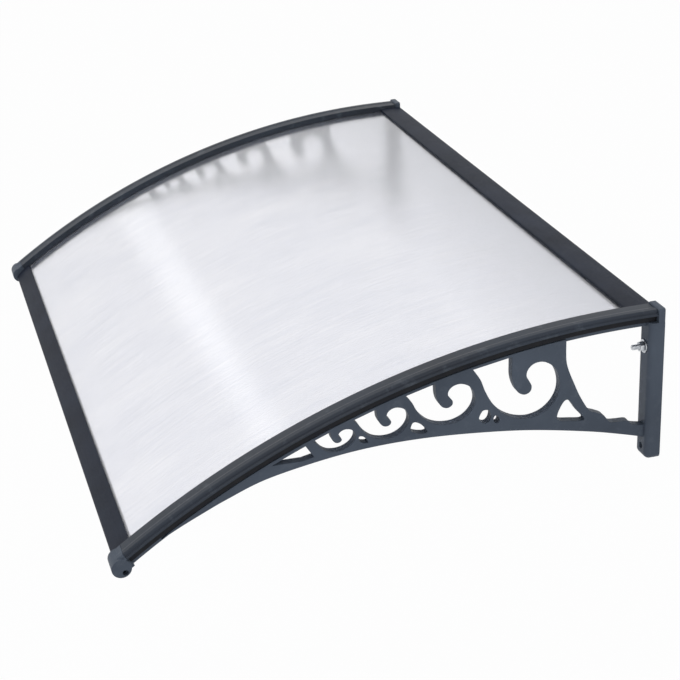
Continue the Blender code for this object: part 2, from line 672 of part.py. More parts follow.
def bar_seats(side):
    """Return (seat, up, shank length) of one side's screws under the wall bar and the front bar."""
    x = side * (BAR_END - SPIGOT_SCREW_INSET)
    length = BAR_WALL + BAR_SCREW_BITE
    wall_middle = (WALL_BAR_DEPTH - SLOT_DEPTH) / 2.0
    front_middle = (FRONT_BAR_DEPTH - SLOT_DEPTH) / 2.0
    (out, z), = front_bar_side([(front_middle, -BAR_DROP)])
    return ((Vector((x, -wall_middle, -BAR_DROP)), Vector((0.0, 0.0, 1.0)), length),
            (Vector((x, -out, z)), arch_up(ARCH_LENGTH), length))


def wall_fixing(side, label, parts):
    """Build the washer, nut and bolt end at the plate's upper hole."""
    x = side * (HALF - STRIP_WIDTH / 2.0)
    washer_face = -PLATE_DEPTH - GAP
    nut_face = washer_face - WASHER_THICK - GAP
    bolt_end = -PLATE_DEPTH - BOLT_STAND_OUT
    bolt = cylinder("wall_bolt_" + label, (x, (bolt_end - GAP) / 2.0, UPPER_BOLT_Z), (0, -1, 0),
                    BOLT_RADIUS, -bolt_end - GAP, parts)
    washer = cylinder("wall_washer_" + label, (x, washer_face - WASHER_THICK / 2.0, UPPER_BOLT_Z),
                      (0, -1, 0), WASHER_RADIUS, WASHER_THICK, parts, sides=24)
    nut = cylinder("wall_nut_" + label, (x, nut_face - NUT_HEIGHT / 2.0, UPPER_BOLT_Z),
                   (0, -1, 0), NUT_RADIUS, NUT_HEIGHT, parts, sides=6, turn=math.radians(30.0))
    bore = cylinder("bore", (x, nut_face, UPPER_BOLT_Z), (0, 1, 0), BOLT_RADIUS + GAP,
                    4.0 * (NUT_HEIGHT + WASHER_THICK), parts)
    for piece in (washer, nut):
        combine(piece, [bore], "DIFFERENCE")
    discard([bore])
    return bolt, washer, nut


def build():
    """Build the whole canopy."""
    clear_scene()
    parts = make_collection("door_canopy")
    slate = make_material("slate_plastic", SLATE)
    slate_metal = make_material("slate_aluminium", SLATE_METAL)
    clear = make_material("clear_sheet", CLEAR)
    rubber = make_material("black_rubber", BLACK_RUBBER)
    zinc = make_material("zinc", ZINC)

    half_sheet = HALF - SHEET_SIDE_INSET
    sheet_section = [(-half_sheet, 0.0), (-half_sheet, -SHEET_THICK), (half_sheet, -SHEET_THICK),
                     (half_sheet, 0.0)]
    sheet = sweep("roof_sheet", sheet_section, SHEET_BACK, SHEET_FRONT, parts)
    wall_bar = flat_solid("wall_bar", wall_bar_outlines(), 2.0 * BAR_END, side_view(0.0), parts)
    front_outlines = [front_bar_side(outline) for outline in front_bar_local()]
    front_bar = flat_solid("front_bar", front_outlines, 2.0 * BAR_END, side_view(0.0), parts)

    for side, label in ((1, "right"), (-1, "left")):
        bracket = make_bracket(side, label, parts)
        strip = sweep("cover_strip_" + label, to_side(strip_section(), side), STRIP_BACK,
                      STRIP_FRONT, parts)
        seal = sweep("edge_seal_" + label, to_side(seal_section(), side), STRIP_BACK, STRIP_FRONT,
                     parts)
        strip_screws = strip_seats(side)
        wall_seat, front_seat = bar_seats(side)
        strip_drills = [make_drill(*seat, parts) for seat in strip_screws]
        wall_drill = make_drill(*wall_seat, parts)
        front_drill = make_drill(*front_seat, parts)
        holes = bracket_holes(side, parts)
        combine(bracket, [*strip_drills, wall_drill, front_drill, *holes], "DIFFERENCE")
        combine(strip, strip_drills, "DIFFERENCE")
        combine(sheet, strip_drills, "DIFFERENCE")
        combine(wall_bar, [wall_drill], "DIFFERENCE")
        combine(front_bar, [front_drill], "DIFFERENCE")
        discard([*strip_drills, wall_drill, front_drill, *holes])

        screws = [make_screw("strip_screw_%s_%d" % (label, number), *seat, parts)
                  for number, seat in enumerate(strip_screws, start=1)]
        screws.append(make_screw("bar_screw_wall_" + label, *wall_seat, parts))
        screws.append(make_screw("bar_screw_front_" + label, *front_seat, parts))
        for piece in (*screws, *wall_fixing(side, label, parts)):
            finish(piece, zinc)
        finish(bracket, slate)
        finish(strip, slate)
        finish(seal, rubber)

    finish(sheet, clear)
    finish(wall_bar, slate_metal)
    finish(front_bar, slate_metal)


build()
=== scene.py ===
"""Looks for a door canopy: an arched frosted sheet on two scrolled brackets, with strips and bars.

Units are metres. X runs across the door, Y points into the wall and Z is up. The wall is the plane
Y = 0 and the canopy reaches out along -Y. Side shapes are drawn as (out, z), where out is the
distance from the wall, or along the arch as s (length along the sheet's top from the wall) and n
(height above that top). An inset is counted inwards from the canopy's side.
"""

import logging
import math
from dataclasses import dataclass, field
from enum import Enum
from typing import Callable, Sequence

import bmesh
import bpy
from mathutils import Matrix, Vector

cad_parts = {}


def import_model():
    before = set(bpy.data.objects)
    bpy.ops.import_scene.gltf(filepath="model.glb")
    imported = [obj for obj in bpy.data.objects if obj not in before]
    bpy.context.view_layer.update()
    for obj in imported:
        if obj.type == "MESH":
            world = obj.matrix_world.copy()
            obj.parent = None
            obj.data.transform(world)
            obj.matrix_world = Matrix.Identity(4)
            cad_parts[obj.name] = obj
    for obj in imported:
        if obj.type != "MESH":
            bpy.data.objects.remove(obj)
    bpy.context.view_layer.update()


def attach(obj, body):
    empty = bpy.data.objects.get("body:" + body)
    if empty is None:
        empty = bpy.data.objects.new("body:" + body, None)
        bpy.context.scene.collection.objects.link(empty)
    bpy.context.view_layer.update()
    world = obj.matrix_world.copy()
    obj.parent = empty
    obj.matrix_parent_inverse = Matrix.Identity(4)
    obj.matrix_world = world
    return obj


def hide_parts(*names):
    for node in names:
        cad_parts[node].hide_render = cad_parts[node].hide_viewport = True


Point = tuple[float, float]
Colour = tuple[float, float, float]

LOG = logging.getLogger("door_canopy")
BODY = "root"
FLAT_WEIGHT = 60         # how far a piece's large faces pull its shading flat
MERGE_DISTANCE = 0.00001


def srgb(*levels: int) -> Colour:
    """Turn a display colour into the linear colour that a shader takes.

    Args:
        *levels: Red, green and blue level, 0 to 255.

    Returns:
        The linear (red, green, blue) values.
    """
    shares = [level / 255.0 for level in levels]
    return tuple(v / 12.92 if v <= 0.04045 else ((v + 0.055) / 1.055) ** 2.4 for v in shares)


class Side(Enum):
    """The two ends of the canopy, seen from the door."""

    RIGHT = 1
    LEFT = -1

    @property
    def label(self) -> str:
        """Return the side's name as the nodes spell it."""
        return self.name.lower()


class Slot(Enum):
    """Names of the canopy's material slots."""

    SHEET = "clear_sheet"
    BRACKET = "slate_plastic"
    STRIP = "strip_plastic"
    BAR = "slate_aluminium"
    SEAL = "black_rubber"
    SCREW = "zinc"
    BOLT = "bolt_zinc"


# Shared sizes


@dataclass(frozen=True)
class Arch:
    """The line that the sheet's top follows: level inside the wall bar, then one round arc."""

    radius: float = 1.306
    start: float = 0.038
    reach: float = 0.800

    @property
    def length(self) -> float:
        """Return the arch's whole length from the wall."""
        return self.start + self.radius * math.asin((self.reach - self.start) / self.radius)

    def slope(self, s: float) -> float:
        """Return how far the arch has turned down at a length, in radians."""
        return max(0.0, (s - self.start) / self.radius)

    def point(self, s: float, n: float) -> Point:
        """Return the side view's place of a point on or beside the arch.

        Args:
            s: Length along the sheet's top.
            n: Height above the sheet's top.

        Returns:
            The point as (out, z).
        """
        if s <= self.start:
            return s, n
        angle, radius = self.slope(s), self.radius + n
        return self.start + radius * math.sin(angle), radius * math.cos(angle) - self.radius

    def place(self, x: float, s: float, n: float) -> Vector:
        """Return a point beside the arch in three dimensions.

        Args:
            x: Place across the door.
            s: Length along the sheet's top.
            n: Height above the sheet's top.

        Returns:
            The point in the canopy's own frame.
        """
        out, z = self.point(s, n)
        return Vector((x, -out, z))

    def up(self, s: float) -> Vector:
        """Return the unit direction away from the sheet's top at a length."""
        return Vector((0.0, -math.sin(self.slope(s)), math.cos(self.slope(s))))

    def stations(self, first: float, last: float, pitch: float) -> list[float]:
        """Return evenly spaced lengths between two ends, with both ends.

        Args:
            first: Length of the wall end.
            last: Length of the front end.
            pitch: Greatest step between two lengths.

        Returns:
            The lengths, wall end first.
        """
        count = max(1, math.ceil((last - first) / pitch))
        return [first + (last - first) * k / count for k in range(count + 1)]


@dataclass(frozen=True)
class Layout:
    """Sizes that several pieces share."""

    arch: Arch = field(default_factory=Arch)
    width: float = 1.200
    gap: float = 0.0003
    sheet_thick: float = 0.0045
    sheet_inset: float = 0.010
    slot_depth: float = 0.012
    slot_play: float = 0.001
    strip_width: float = 0.0352
    strip_back: float = 0.0103
    seal_wall: float = 0.0020
    seal_inset: float = 0.0070
    wall_bar_depth: float = 0.0417
    front_bar_depth: float = 0.0342
    bar_drop: float = 0.0110
    bar_wall: float = 0.0022
    wall_bar_lip: float = 0.0040
    wall_bar_roof: float = 0.0038
    front_bar_lip: float = 0.0026
    bar_crown: float = 0.0010
    plate_depth: float = 0.0225
    flange_thick: float = 0.0102
    nose_radius: float = 0.0140
    nose_back: float = 0.0085
    screw_inset: float = 0.0290
    upper_bolt_z: float = -0.047
    lower_hole_z: float = -0.205

    @property
    def half(self) -> float:
        """Return half of the canopy's width."""
        return self.width / 2.0

    @property
    def bar_end(self) -> float:
        """Return where the bars end across the door."""
        return self.half - self.strip_width - self.gap

    @property
    def flange_top(self) -> float:
        """Return the depth of the bracket flange's top below the sheet's top."""
        return self.sheet_thick + self.gap

    @property
    def flange_bottom(self) -> float:
        """Return the depth of the bracket flange's underside below the sheet's top."""
        return self.flange_top + self.flange_thick

    @property
    def nose_s(self) -> float:
        """Return the length along the arch at the nose's centre."""
        return self.arch.length - self.nose_back

    @property
    def strip_front(self) -> float:
        """Return the length along the arch at the cover strip's front end."""
        return self.nose_s - self.nose_radius - 2.0 * self.gap

    @property
    def sheet_back(self) -> float:
        """Return the length along the arch at the sheet's wall edge."""
        return self.wall_bar_depth - self.slot_depth + self.slot_play

    @property
    def sheet_front(self) -> float:
        """Return the length along the arch at the sheet's front edge."""
        return self.arch.length - self.front_bar_depth + self.slot_depth - self.slot_play


# Drawing helpers


def arc(centre: Point, radius: float, start_deg: float, end_deg: float, steps: int) -> list[Point]:
    """Return points on a circular arc.

    Args:
        centre: The arc's centre.
        radius: The arc's radius.
        start_deg: Angle of the first point.
        end_deg: Angle of the last point.
        steps: Number of straight steps.

    Returns:
        The points, both ends included.
    """
    points = []
    for k in range(steps + 1):
        angle = math.radians(start_deg + (end_deg - start_deg) * k / steps)
        points.append((centre[0] + radius * math.cos(angle), centre[1] + radius * math.sin(angle)))
    return points


def curve_through(points: Sequence[Point], sharp: Sequence[int] = (), steps: int = 6,
                  closed: bool = True) -> list[Point]:
    """Return points along a smooth curve through a few given points.

    Args:
        points: The given points.
        sharp: Which of them are corners.
        steps: Steps from one point to the next.
        closed: Whether the curve runs back to its start.

    Returns:
        The points of the curve.
    """
    count = len(points)
    result: list[Point] = []
    for i in range(count if closed else count - 1):
        p1, p2 = Vector(points[i]), Vector(points[(i + 1) % count])
        before = Vector(points[i - 1]) if closed or i > 0 else p1
        after = Vector(points[(i + 2) % count]) if closed or i + 2 < count else p2
        before = p1 if i in sharp else before
        after = p2 if (i + 1) % count in sharp else after
        start, end = (p2 - before) / 2.0, (after - p1) / 2.0
        for k in range(steps):
            t = k / steps
            spot = ((2 * t ** 3 - 3 * t ** 2 + 1) * p1 + (t ** 3 - 2 * t ** 2 + t) * start
                    + (3 * t ** 2 - 2 * t ** 3) * p2 + (t ** 3 - t ** 2) * end)
            result.append((spot.x, spot.y))
    if not closed:
        result.append(points[-1])
    return result


def side_view(x: float) -> Matrix:
    """Return the matrix that stands an (out, z) drawing up at a place across the door."""
    return Matrix(((0.0, 0.0, -1.0, x), (-1.0, 0.0, 0.0, 0.0), (0.0, 1.0, 0.0, 0.0),
                   (0.0, 0.0, 0.0, 1.0)))


def aim(place: Vector, direction: Vector, spin: float = 0.0) -> Matrix:
    """Return the matrix that puts a turned piece in place.

    Args:
        place: Where the piece's own origin goes.
        direction: Where the piece's own Z axis points.
        spin: Turn about that axis, in radians.

    Returns:
        The placing matrix.
    """
    turn = direction.normalized().to_track_quat("Z", "Y").to_matrix().to_4x4()
    return Matrix.Translation(place) @ turn @ Matrix.Rotation(spin, 4, "Z")


# Mesh helpers


def add_object(name: str, bm: bmesh.types.BMesh) -> bpy.types.Object:
    """Turn a bmesh into an object with its faces pointing out.

    Args:
        name: The object's name.
        bm: The mesh, which is freed.

    Returns:
        The new object, linked to the scene.
    """
    bmesh.ops.recalc_face_normals(bm, faces=bm.faces)
    mesh = bpy.data.meshes.new(name)
    bm.to_mesh(mesh)
    bm.free()
    obj = bpy.data.objects.new(name, mesh)
    bpy.context.scene.collection.objects.link(obj)
    return obj


def shade(obj: bpy.types.Object, corner_deg: float) -> bpy.types.Object:
    """Shade a piece smooth but for its corners.

    Args:
        obj: The piece.
        corner_deg: Angle from which an edge stays sharp.

    Returns:
        The same piece.
    """
    obj.data.shade_smooth()
    obj.data.set_sharp_from_angle(angle=math.radians(corner_deg))
    return obj


def polish(obj: bpy.types.Object, edge: float = 0.0, corner_deg: float = 38.0,
           segments: int = 3) -> bpy.types.Object:
    """Shade a piece smooth, round its edges a little and keep its flats flat.

    Args:
        obj: The piece.
        edge: Rounding of its edges, or 0 for none.
        corner_deg: Angle from which an edge counts as one.
        segments: Steps across a rounding.

    Returns:
        The same piece.
    """
    if edge:
        obj.data.shade_smooth()
        bevel = obj.modifiers.new("edge", "BEVEL")
        bevel.width = edge
        bevel.segments = segments
        bevel.limit_method = "ANGLE"
        bevel.angle_limit = math.radians(corner_deg)
        bevel.miter_outer = "MITER_ARC"
    else:
        shade(obj, corner_deg)
    weighted = obj.modifiers.new("flats", "WEIGHTED_NORMAL")
    weighted.keep_sharp = True
    weighted.weight = FLAT_WEIGHT
    return obj


def sweep(name: str, section: Sequence[Point], first: float, last: float, arch: Arch,
          pitch: float = 0.0075) -> bpy.types.Object:
    """Extrude a closed section along the arch.

    Args:
        name: The object's name.
        section: Closed section of (x, n) points.
        first: Length along the arch of the wall end.
        last: Length along the arch of the front end.
        arch: The arch to follow.
        pitch: Greatest step along the arch.

    Returns:
        The new object, with a map of (place round the section, length along the arch).
    """
    bm = bmesh.new()
    layer = bm.loops.layers.uv.new("along")
    closed = [*section, section[0]]
    girth = [0.0]
    for a, b in zip(closed, closed[1:]):
        girth.append(girth[-1] + math.dist(a, b))
    stations = arch.stations(first, last, pitch)
    rings = [[bm.verts.new(arch.place(x, s, n)) for x, n in section] for s in stations]
    count = len(section)
    for i, (start, end) in enumerate(zip(rings, rings[1:])):
        for k in range(count):
            nxt = (k + 1) % count
            face = bm.faces.new((start[k], start[nxt], end[nxt], end[k]))
            spots = ((girth[k], stations[i]), (girth[k + 1], stations[i]),
                     (girth[k + 1], stations[i + 1]), (girth[k], stations[i + 1]))
            for loop, spot in zip(face.loops, spots):
                loop[layer].uv = spot
    for ring in (rings[0], rings[-1]):
        face = bm.faces.new(ring)
        for loop, (x, n) in zip(face.loops, section):
            loop[layer].uv = (x, n)
    return add_object(name, bm)


def extrude_outlines(name: str, outlines: Sequence[Sequence[Point]], thickness: float,
                     matrix: Matrix, edge: float = 0.0) -> bpy.types.Object:
    """Extrude flat closed outlines, holes included, both ways.

    Args:
        name: The object's name.
        outlines: The outer outline and its holes.
        thickness: Whole thickness.
        matrix: Where the drawing stands.
        edge: Rounding along both faces, or 0 for none.

    Returns:
        The new object, with its place in its mesh.
    """
    curve = bpy.data.curves.new(name + "_outline", "CURVE")
    curve.dimensions = "2D"
    curve.fill_mode = "BOTH"
    curve.extrude = thickness / 2.0 - edge
    curve.bevel_depth = edge
    curve.bevel_resolution = 2
    curve.offset = -edge
    for outline in outlines:
        spline = curve.splines.new("POLY")
        spline.points.add(len(outline) - 1)
        for point, (x, y) in zip(spline.points, outline):
            point.co = (x, y, 0.0, 1.0)
        spline.use_cyclic_u = True
    source = bpy.data.objects.new(name + "_outline", curve)
    bpy.context.scene.collection.objects.link(source)
    bpy.context.view_layer.update()
    evaluated = source.evaluated_get(bpy.context.evaluated_depsgraph_get())
    mesh = bpy.data.meshes.new_from_object(evaluated)
    bm = bmesh.new()
    bm.from_mesh(mesh)
    bmesh.ops.remove_doubles(bm, verts=bm.verts, dist=MERGE_DISTANCE)
    bm.transform(matrix)
    bpy.data.objects.remove(source, do_unlink=True)
    bpy.data.meshes.remove(mesh)
    return add_object(name, bm)


def block(name: str, low: Sequence[float], high: Sequence[float]) -> bpy.types.Object:
    """Return a plain block between two corners, to be cut and rounded.

    Args:
        name: The object's name.
        low: Its lowest corner.
        high: Its highest corner.

    Returns:
        The new object.
    """
    bm = bmesh.new()
    bmesh.ops.create_cube(bm, size=1.0)
    size = Vector(high) - Vector(low)
    bmesh.ops.scale(bm, vec=size, verts=bm.verts)
    bmesh.ops.translate(bm, vec=(Vector(high) + Vector(low)) / 2.0, verts=bm.verts)
    return add_object(name, bm)


def spoke(radius: float, angle: float, z: float) -> tuple[float, float, float]:
    """Return the point at a radius, an angle round the Z axis and a height."""
    return radius * math.cos(angle), radius * math.sin(angle), z


def bridge(bm: bmesh.types.BMesh, rings: Sequence[Sequence[bmesh.types.BMVert]]) -> None:
    """Join each ring of vertices to the next one with faces.

    Args:
        bm: The mesh.
        rings: Rings with equally many vertices; a pole repeats its one vertex.
    """
    for lower, upper in zip(rings, rings[1:]):
        for k in range(len(lower)):
            nxt = (k + 1) % len(lower)
            corners = list(dict.fromkeys((lower[k], lower[nxt], upper[nxt], upper[k])))
            if len(corners) > 2:
                bm.faces.new(corners)


def turned(name: str, profile: Sequence[Point], sides: int = 48) -> bpy.types.Object:
    """Turn a closed or pole-to-pole (radius, height) profile round the Z axis.

    Args:
        name: The object's name.
        profile: The profile; it starts and ends on the axis, or is closed.
        sides: Steps round the axis.

    Returns:
        The new object, at the origin.
    """
    bm = bmesh.new()
    rings = []
    for radius, z in profile:
        spots = sides if radius > 0.0 else 1
        ring = [bm.verts.new(spoke(radius, math.tau * k / sides, z)) for k in range(spots)]
        rings.append(ring * (sides // spots))
    if profile[0][0] > 0.0:
        rings.append(rings[0])
    bridge(bm, rings)
    return add_object(name, bm)


def cut(target: bpy.types.Object, tools: Sequence[bpy.types.Object]) -> bpy.types.Object:
    """Cut shapes away from a piece and remove the cutters.

    Args:
        target: The piece to cut.
        tools: The cutters.

    Returns:
        The same piece.
    """
    for tool in tools:
        step = target.modifiers.new("cut", "BOOLEAN")
        step.operation = "DIFFERENCE"
        step.object = tool
    bpy.context.view_layer.update()
    evaluated = target.evaluated_get(bpy.context.evaluated_depsgraph_get())
    mesh = bpy.data.meshes.new_from_object(evaluated)
    target.modifiers.clear()
    target.data = mesh
    for tool in tools:
        bpy.data.objects.remove(tool, do_unlink=True)
    return target


def drill(radius: float, reach: float, place: Vector, axis: Vector) -> bpy.types.Object:
    """Return a round cutter.

    Args:
        radius: Its radius.
        reach: How far it goes either way.
        place: Its middle.
        axis: Its direction.

    Returns:
        The cutter.
    """
    cutter = turned("drill", [(0.0, -reach), (radius, -reach), (radius, reach), (0.0, reach)], 40)
    cutter.matrix_world = aim(place, axis)
    return cutter


def install(piece: bpy.types.Object, nodes: Sequence[str],
            material: bpy.types.Material, parts: Sequence[bpy.types.Object] = ()) -> None:
    """Dress a finished piece and put it in the place of its CAD nodes.

    Args:
        piece: The piece.
        nodes: The CAD nodes that it stands for.
        material: Its material.
        parts: Further meshes of the same moulding, which ride on the piece.
    """
    for obj in (piece, *parts):
        obj.data.materials.clear()
        obj.data.materials.append(material)
    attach(piece, BODY)
    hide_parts(*nodes)
    for part in parts:
        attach(part, BODY)
    faces = sum(len(obj.data.polygons) for obj in (piece, *parts))
    LOG.info("%s: %d faces in %d meshes, for %s", piece.name, faces, 1 + len(parts),
             ", ".join(nodes))


# Finishes


class NodeTree:
    """A short way to add and link the nodes of one tree."""

    def __init__(self, tree: bpy.types.NodeTree) -> None:
        """Work on the given tree."""
        self.tree = tree

    def add(self, kind: str, **settings: object) -> bpy.types.Node:
        """Add a node and set its attributes and sockets.

        Args:
            kind: The node's type name.
            **settings: Attributes by their names, which start small, and sockets by theirs,
                which start with a capital and have underscores for spaces.

        Returns:
            The new node.
        """
        node = self.tree.nodes.new(kind)
        for key, value in settings.items():
            if key[0].isupper():
                node.inputs[key.replace("_", " ")].default_value = value
            else:
                setattr(node, key, value)
        return node

    def link(self, source: bpy.types.NodeSocket, target: bpy.types.NodeSocket) -> None:
        """Link one socket to another."""
        self.tree.links.new(source, target)

    def blend(self, share: bpy.types.NodeSocket, first: bpy.types.Node,
              second: bpy.types.Node) -> bpy.types.NodeSocket:
        """Blend two shaders.

        Args:
            share: How much of the second.
            first: A shader.
            second: A shader.

        Returns:
            The blended shader's socket.
        """
        node = self.add("ShaderNodeMixShader")
        for k, source in enumerate((share, first.outputs[0], second.outputs[0])):
            self.link(source, node.inputs[k])
        return node.outputs[0]

    def seen_directly(self) -> bpy.types.NodeSocket:
        """Return 1 for rays that show the surroundings to the eye, in gloss or through the sheet.

        Returns:
            The value socket.
        """
        path = self.add("ShaderNodeLightPath")
        value = path.outputs["Is Camera Ray"]
        for ray in ("Is Glossy Ray", "Is Transmission Ray"):
            node = self.add("ShaderNodeMath", operation="MAXIMUM")
            self.link(value, node.inputs[0])
            self.link(path.outputs[ray], node.inputs[1])
            value = node.outputs[0]
        return value


class NodeBench(NodeTree):
    """The nodes of one material, round its Principled shader."""

    def __init__(self, name: str) -> None:
        """Start the material of the given name."""
        self.material = bpy.data.materials.new(name)
        self.material.use_nodes = True
        super().__init__(self.material.node_tree)
        self.shader = self.tree.nodes["Principled BSDF"]

    def set(self, **values: object) -> None:
        """Set the shader's own sockets, whose names are written with underscores."""
        for key, value in values.items():
            self.shader.inputs[key.replace("_", " ")].default_value = value

    def place(self, scale: Sequence[float] = (1.0, 1.0, 1.0),
              output: str = "Object") -> bpy.types.NodeSocket:
        """Return a texture place, stretched along its axes.

        Args:
            scale: Stretch along each axis.
            output: Which of the texture coordinates to use.

        Returns:
            The place as a vector socket.
        """
        mapping = self.add("ShaderNodeMapping", Scale=tuple(scale))
        self.link(self.add("ShaderNodeTexCoord").outputs[output], mapping.inputs["Vector"])
        return mapping.outputs["Vector"]

    def length_along(self) -> bpy.types.NodeSocket:
        """Return the length along the arch from the wall, in metres, of a swept piece."""
        parts = self.add("ShaderNodeSeparateXYZ")
        self.link(self.place(output="UV"), parts.inputs["Vector"])
        return parts.outputs["Y"]

    def noise(self, place: bpy.types.NodeSocket, scale: float, detail: float,
              roughness: float) -> bpy.types.NodeSocket:
        """Return a noise value.

        Args:
            place: Where it is read.
            scale: Its scale.
            detail: Its number of octaves.
            roughness: How strong the finer octaves are.

        Returns:
            The value socket.
        """
        node = self.add("ShaderNodeTexNoise", Scale=scale, Detail=detail, Roughness=roughness)
        self.link(place, node.inputs["Vector"])
        return node.outputs["Fac"]

    def ramp(self, value: bpy.types.NodeSocket, low: float, high: float, start: float = 0.0,
             end: float = 1.0) -> bpy.types.NodeSocket:
        """Map a value from one range to another.

        Args:
            value: The value to map.
            low: Lowest value read.
            high: Highest value read.
            start: Result at the lowest value.
            end: Result at the highest value.

        Returns:
            The mapped value.
        """
        node = self.add("ShaderNodeMapRange", From_Min=low, From_Max=high, To_Min=start,
                        To_Max=end)
        self.link(value, node.inputs["Value"])
        return node.outputs["Result"]

    def mix(self, share: bpy.types.NodeSocket, first: "Colour | bpy.types.NodeSocket",
            second: Colour) -> bpy.types.NodeSocket:
        """Mix two colours.

        Args:
            share: How much of the second.
            first: A colour or a colour socket.
            second: A colour.

        Returns:
            The mixed colour.
        """
        node = self.add("ShaderNodeMix", data_type="RGBA", B=(*second, 1.0))
        self.link(share, node.inputs["Factor"])
        if isinstance(first, bpy.types.NodeSocket):
            self.link(first, node.inputs["A"])
        else:
            node.inputs["A"].default_value = (*first, 1.0)
        return node.outputs["Result"]

    def total(self, first: bpy.types.NodeSocket, second: bpy.types.NodeSocket,
              share: float) -> bpy.types.NodeSocket:
        """Add a share of one value to another.

        Args:
            first: The value added to.
            second: The value of which a share is added.
            share: That share.

        Returns:
            The sum.
        """
        node = self.add("ShaderNodeMath", operation="MULTIPLY_ADD")
        self.link(second, node.inputs[0])
        node.inputs[1].default_value = share
        self.link(first, node.inputs[2])
        return node.outputs[0]

    def bump(self, height: bpy.types.NodeSocket, distance: float, strength: float) -> None:
        """Raise the surface by a height value.

        Args:
            height: The height, 0 to 1.
            distance: What a height of 1 stands for, in metres.
            strength: How much of it is used.
        """
        node = self.add("ShaderNodeBump", Distance=distance, Strength=strength)
        self.link(height, node.inputs["Height"])
        for target in ("Normal", "Coat Normal"):
            self.link(node.outputs["Normal"], self.shader.inputs[target])

    def colour(self, socket: bpy.types.NodeSocket) -> None:
        """Use a colour as the base colour."""
        self.link(socket, self.shader.inputs["Base Color"])

    def roughness(self, socket: bpy.types.NodeSocket) -> None:
        """Use a value as the roughness."""
        self.link(socket, self.shader.inputs["Roughness"])


@dataclass(frozen=True)
class MouldedPlastic:
    """Satin slate moulding: fine spark-eroded grain, soft flow marks and a little dust."""

    name: str = "slate_moulding"
    dark: Colour = srgb(66, 74, 86)
    light: Colour = srgb(86, 95, 108)
    dust: Colour = srgb(106, 114, 124)
    roughness_low: float = 0.40
    roughness_high: float = 0.56
    gloss: float = 0.20

    def material(self) -> bpy.types.Material:
        """Return the material."""
        bench = NodeBench(self.name)
        place = bench.place()
        flow = bench.noise(bench.place((14.0, 5.0, 5.0)), 1.0, 4.0, 0.6)
        grain = bench.noise(place, 1500.0, 2.0, 0.6)
        patches = bench.noise(place, 42.0, 5.0, 0.62)
        base = bench.mix(bench.ramp(flow, 0.30, 0.70), self.dark, self.light)
        base = bench.mix(bench.ramp(patches, 0.56, 0.80, 0.0, 0.45), base, self.dust)
        bench.colour(base)
        bench.roughness(bench.ramp(bench.total(flow, grain, 0.35), 0.35, 0.85,
                                   self.roughness_low, self.roughness_high))
        bench.bump(bench.total(grain, patches, 0.6), 0.00006, 0.55)
        bench.set(Specular_IOR_Level=self.gloss)
        return bench.material


@dataclass(frozen=True)
class PowderCoat:
    """Powder coat on an extrusion: orange peel, faint die lines and a dry satin face."""

    name: str = "slate_powder_coat"
    dark: Colour = srgb(27, 32, 43)
    light: Colour = srgb(42, 48, 62)
    roughness_low: float = 0.44
    roughness_high: float = 0.58
    gloss: float = 0.26
    index: float = 1.28

    def material(self) -> bpy.types.Material:
        """Return the material."""
        bench = NodeBench(self.name)
        place = bench.place()
        peel = bench.noise(place, 520.0, 3.0, 0.5)
        lines = bench.noise(bench.place((1.2, 900.0, 900.0)), 1.0, 2.0, 0.5)
        broad = bench.noise(place, 9.0, 3.0, 0.55)
        bench.colour(bench.mix(bench.ramp(bench.total(broad, lines, 0.25), 0.40, 0.85),
                               self.dark, self.light))
        bench.roughness(bench.ramp(peel, 0.30, 0.70, self.roughness_low, self.roughness_high))
        bench.bump(bench.total(peel, lines, 0.4), 0.00005, 0.5)
        bench.set(Specular_IOR_Level=self.gloss, IOR=self.index)
        return bench.material


@dataclass(frozen=True)
class FrostedSheet:
    """Milky polycarbonate: rough see-through body, rolled lines along the arch and fine grain,
    with painted shade that darkens it towards the wall edge.
    """

    name: str = "frosted_polycarbonate"
    body: Colour = srgb(249, 249, 254)
    haze: Colour = srgb(230, 232, 242)
    # Colour of the painted shade near the wall, and how far along the arch it reaches.
    painted_wall_shade: Colour = srgb(199, 201, 210)
    painted_shade_reach: float = 0.30
    transmission: float = 0.90
    roughness_low: float = 0.09
    roughness_high: float = 0.15
    index: float = 1.50
    coat: float = 0.55
    coat_roughness: float = 0.035
    coat_index: float = 1.50

    def material(self) -> bpy.types.Material:
        """Return the material."""
        bench = NodeBench(self.name)
        lines = bench.noise(bench.place((150.0, 9.0, 1.0), "UV"), 1.0, 3.0, 0.6)
        grain = bench.noise(bench.place(output="UV"), 430.0, 4.0, 0.65)
        cloud = bench.noise(bench.place((1.0, 0.6, 1.0), "UV"), 7.0, 4.0, 0.6)
        tone = bench.total(bench.total(cloud, lines, 0.9), grain, 0.5)
        base = bench.mix(bench.ramp(tone, 0.92, 1.52), self.body, self.haze)
        # Painted shade: the sheet's colour darkens towards its wall edge, standing in for the
        # shade near the wall bar.
        wall_shade_share = bench.ramp(bench.total(bench.length_along(), cloud, 0.12), 0.06,
                               self.painted_shade_reach, 1.0, 0.0)
        bench.colour(bench.mix(wall_shade_share, base, self.painted_wall_shade))
        bench.roughness(bench.ramp(bench.total(grain, lines, 0.5), 0.50, 1.0,
                                   self.roughness_low, self.roughness_high))
        bench.bump(bench.total(grain, lines, 0.8), 0.00018, 0.6)
        bench.set(IOR=self.index, Transmission_Weight=self.transmission, Coat_Weight=self.coat,
                  Coat_Roughness=self.coat_roughness, Coat_IOR=self.coat_index)
        return bench.material


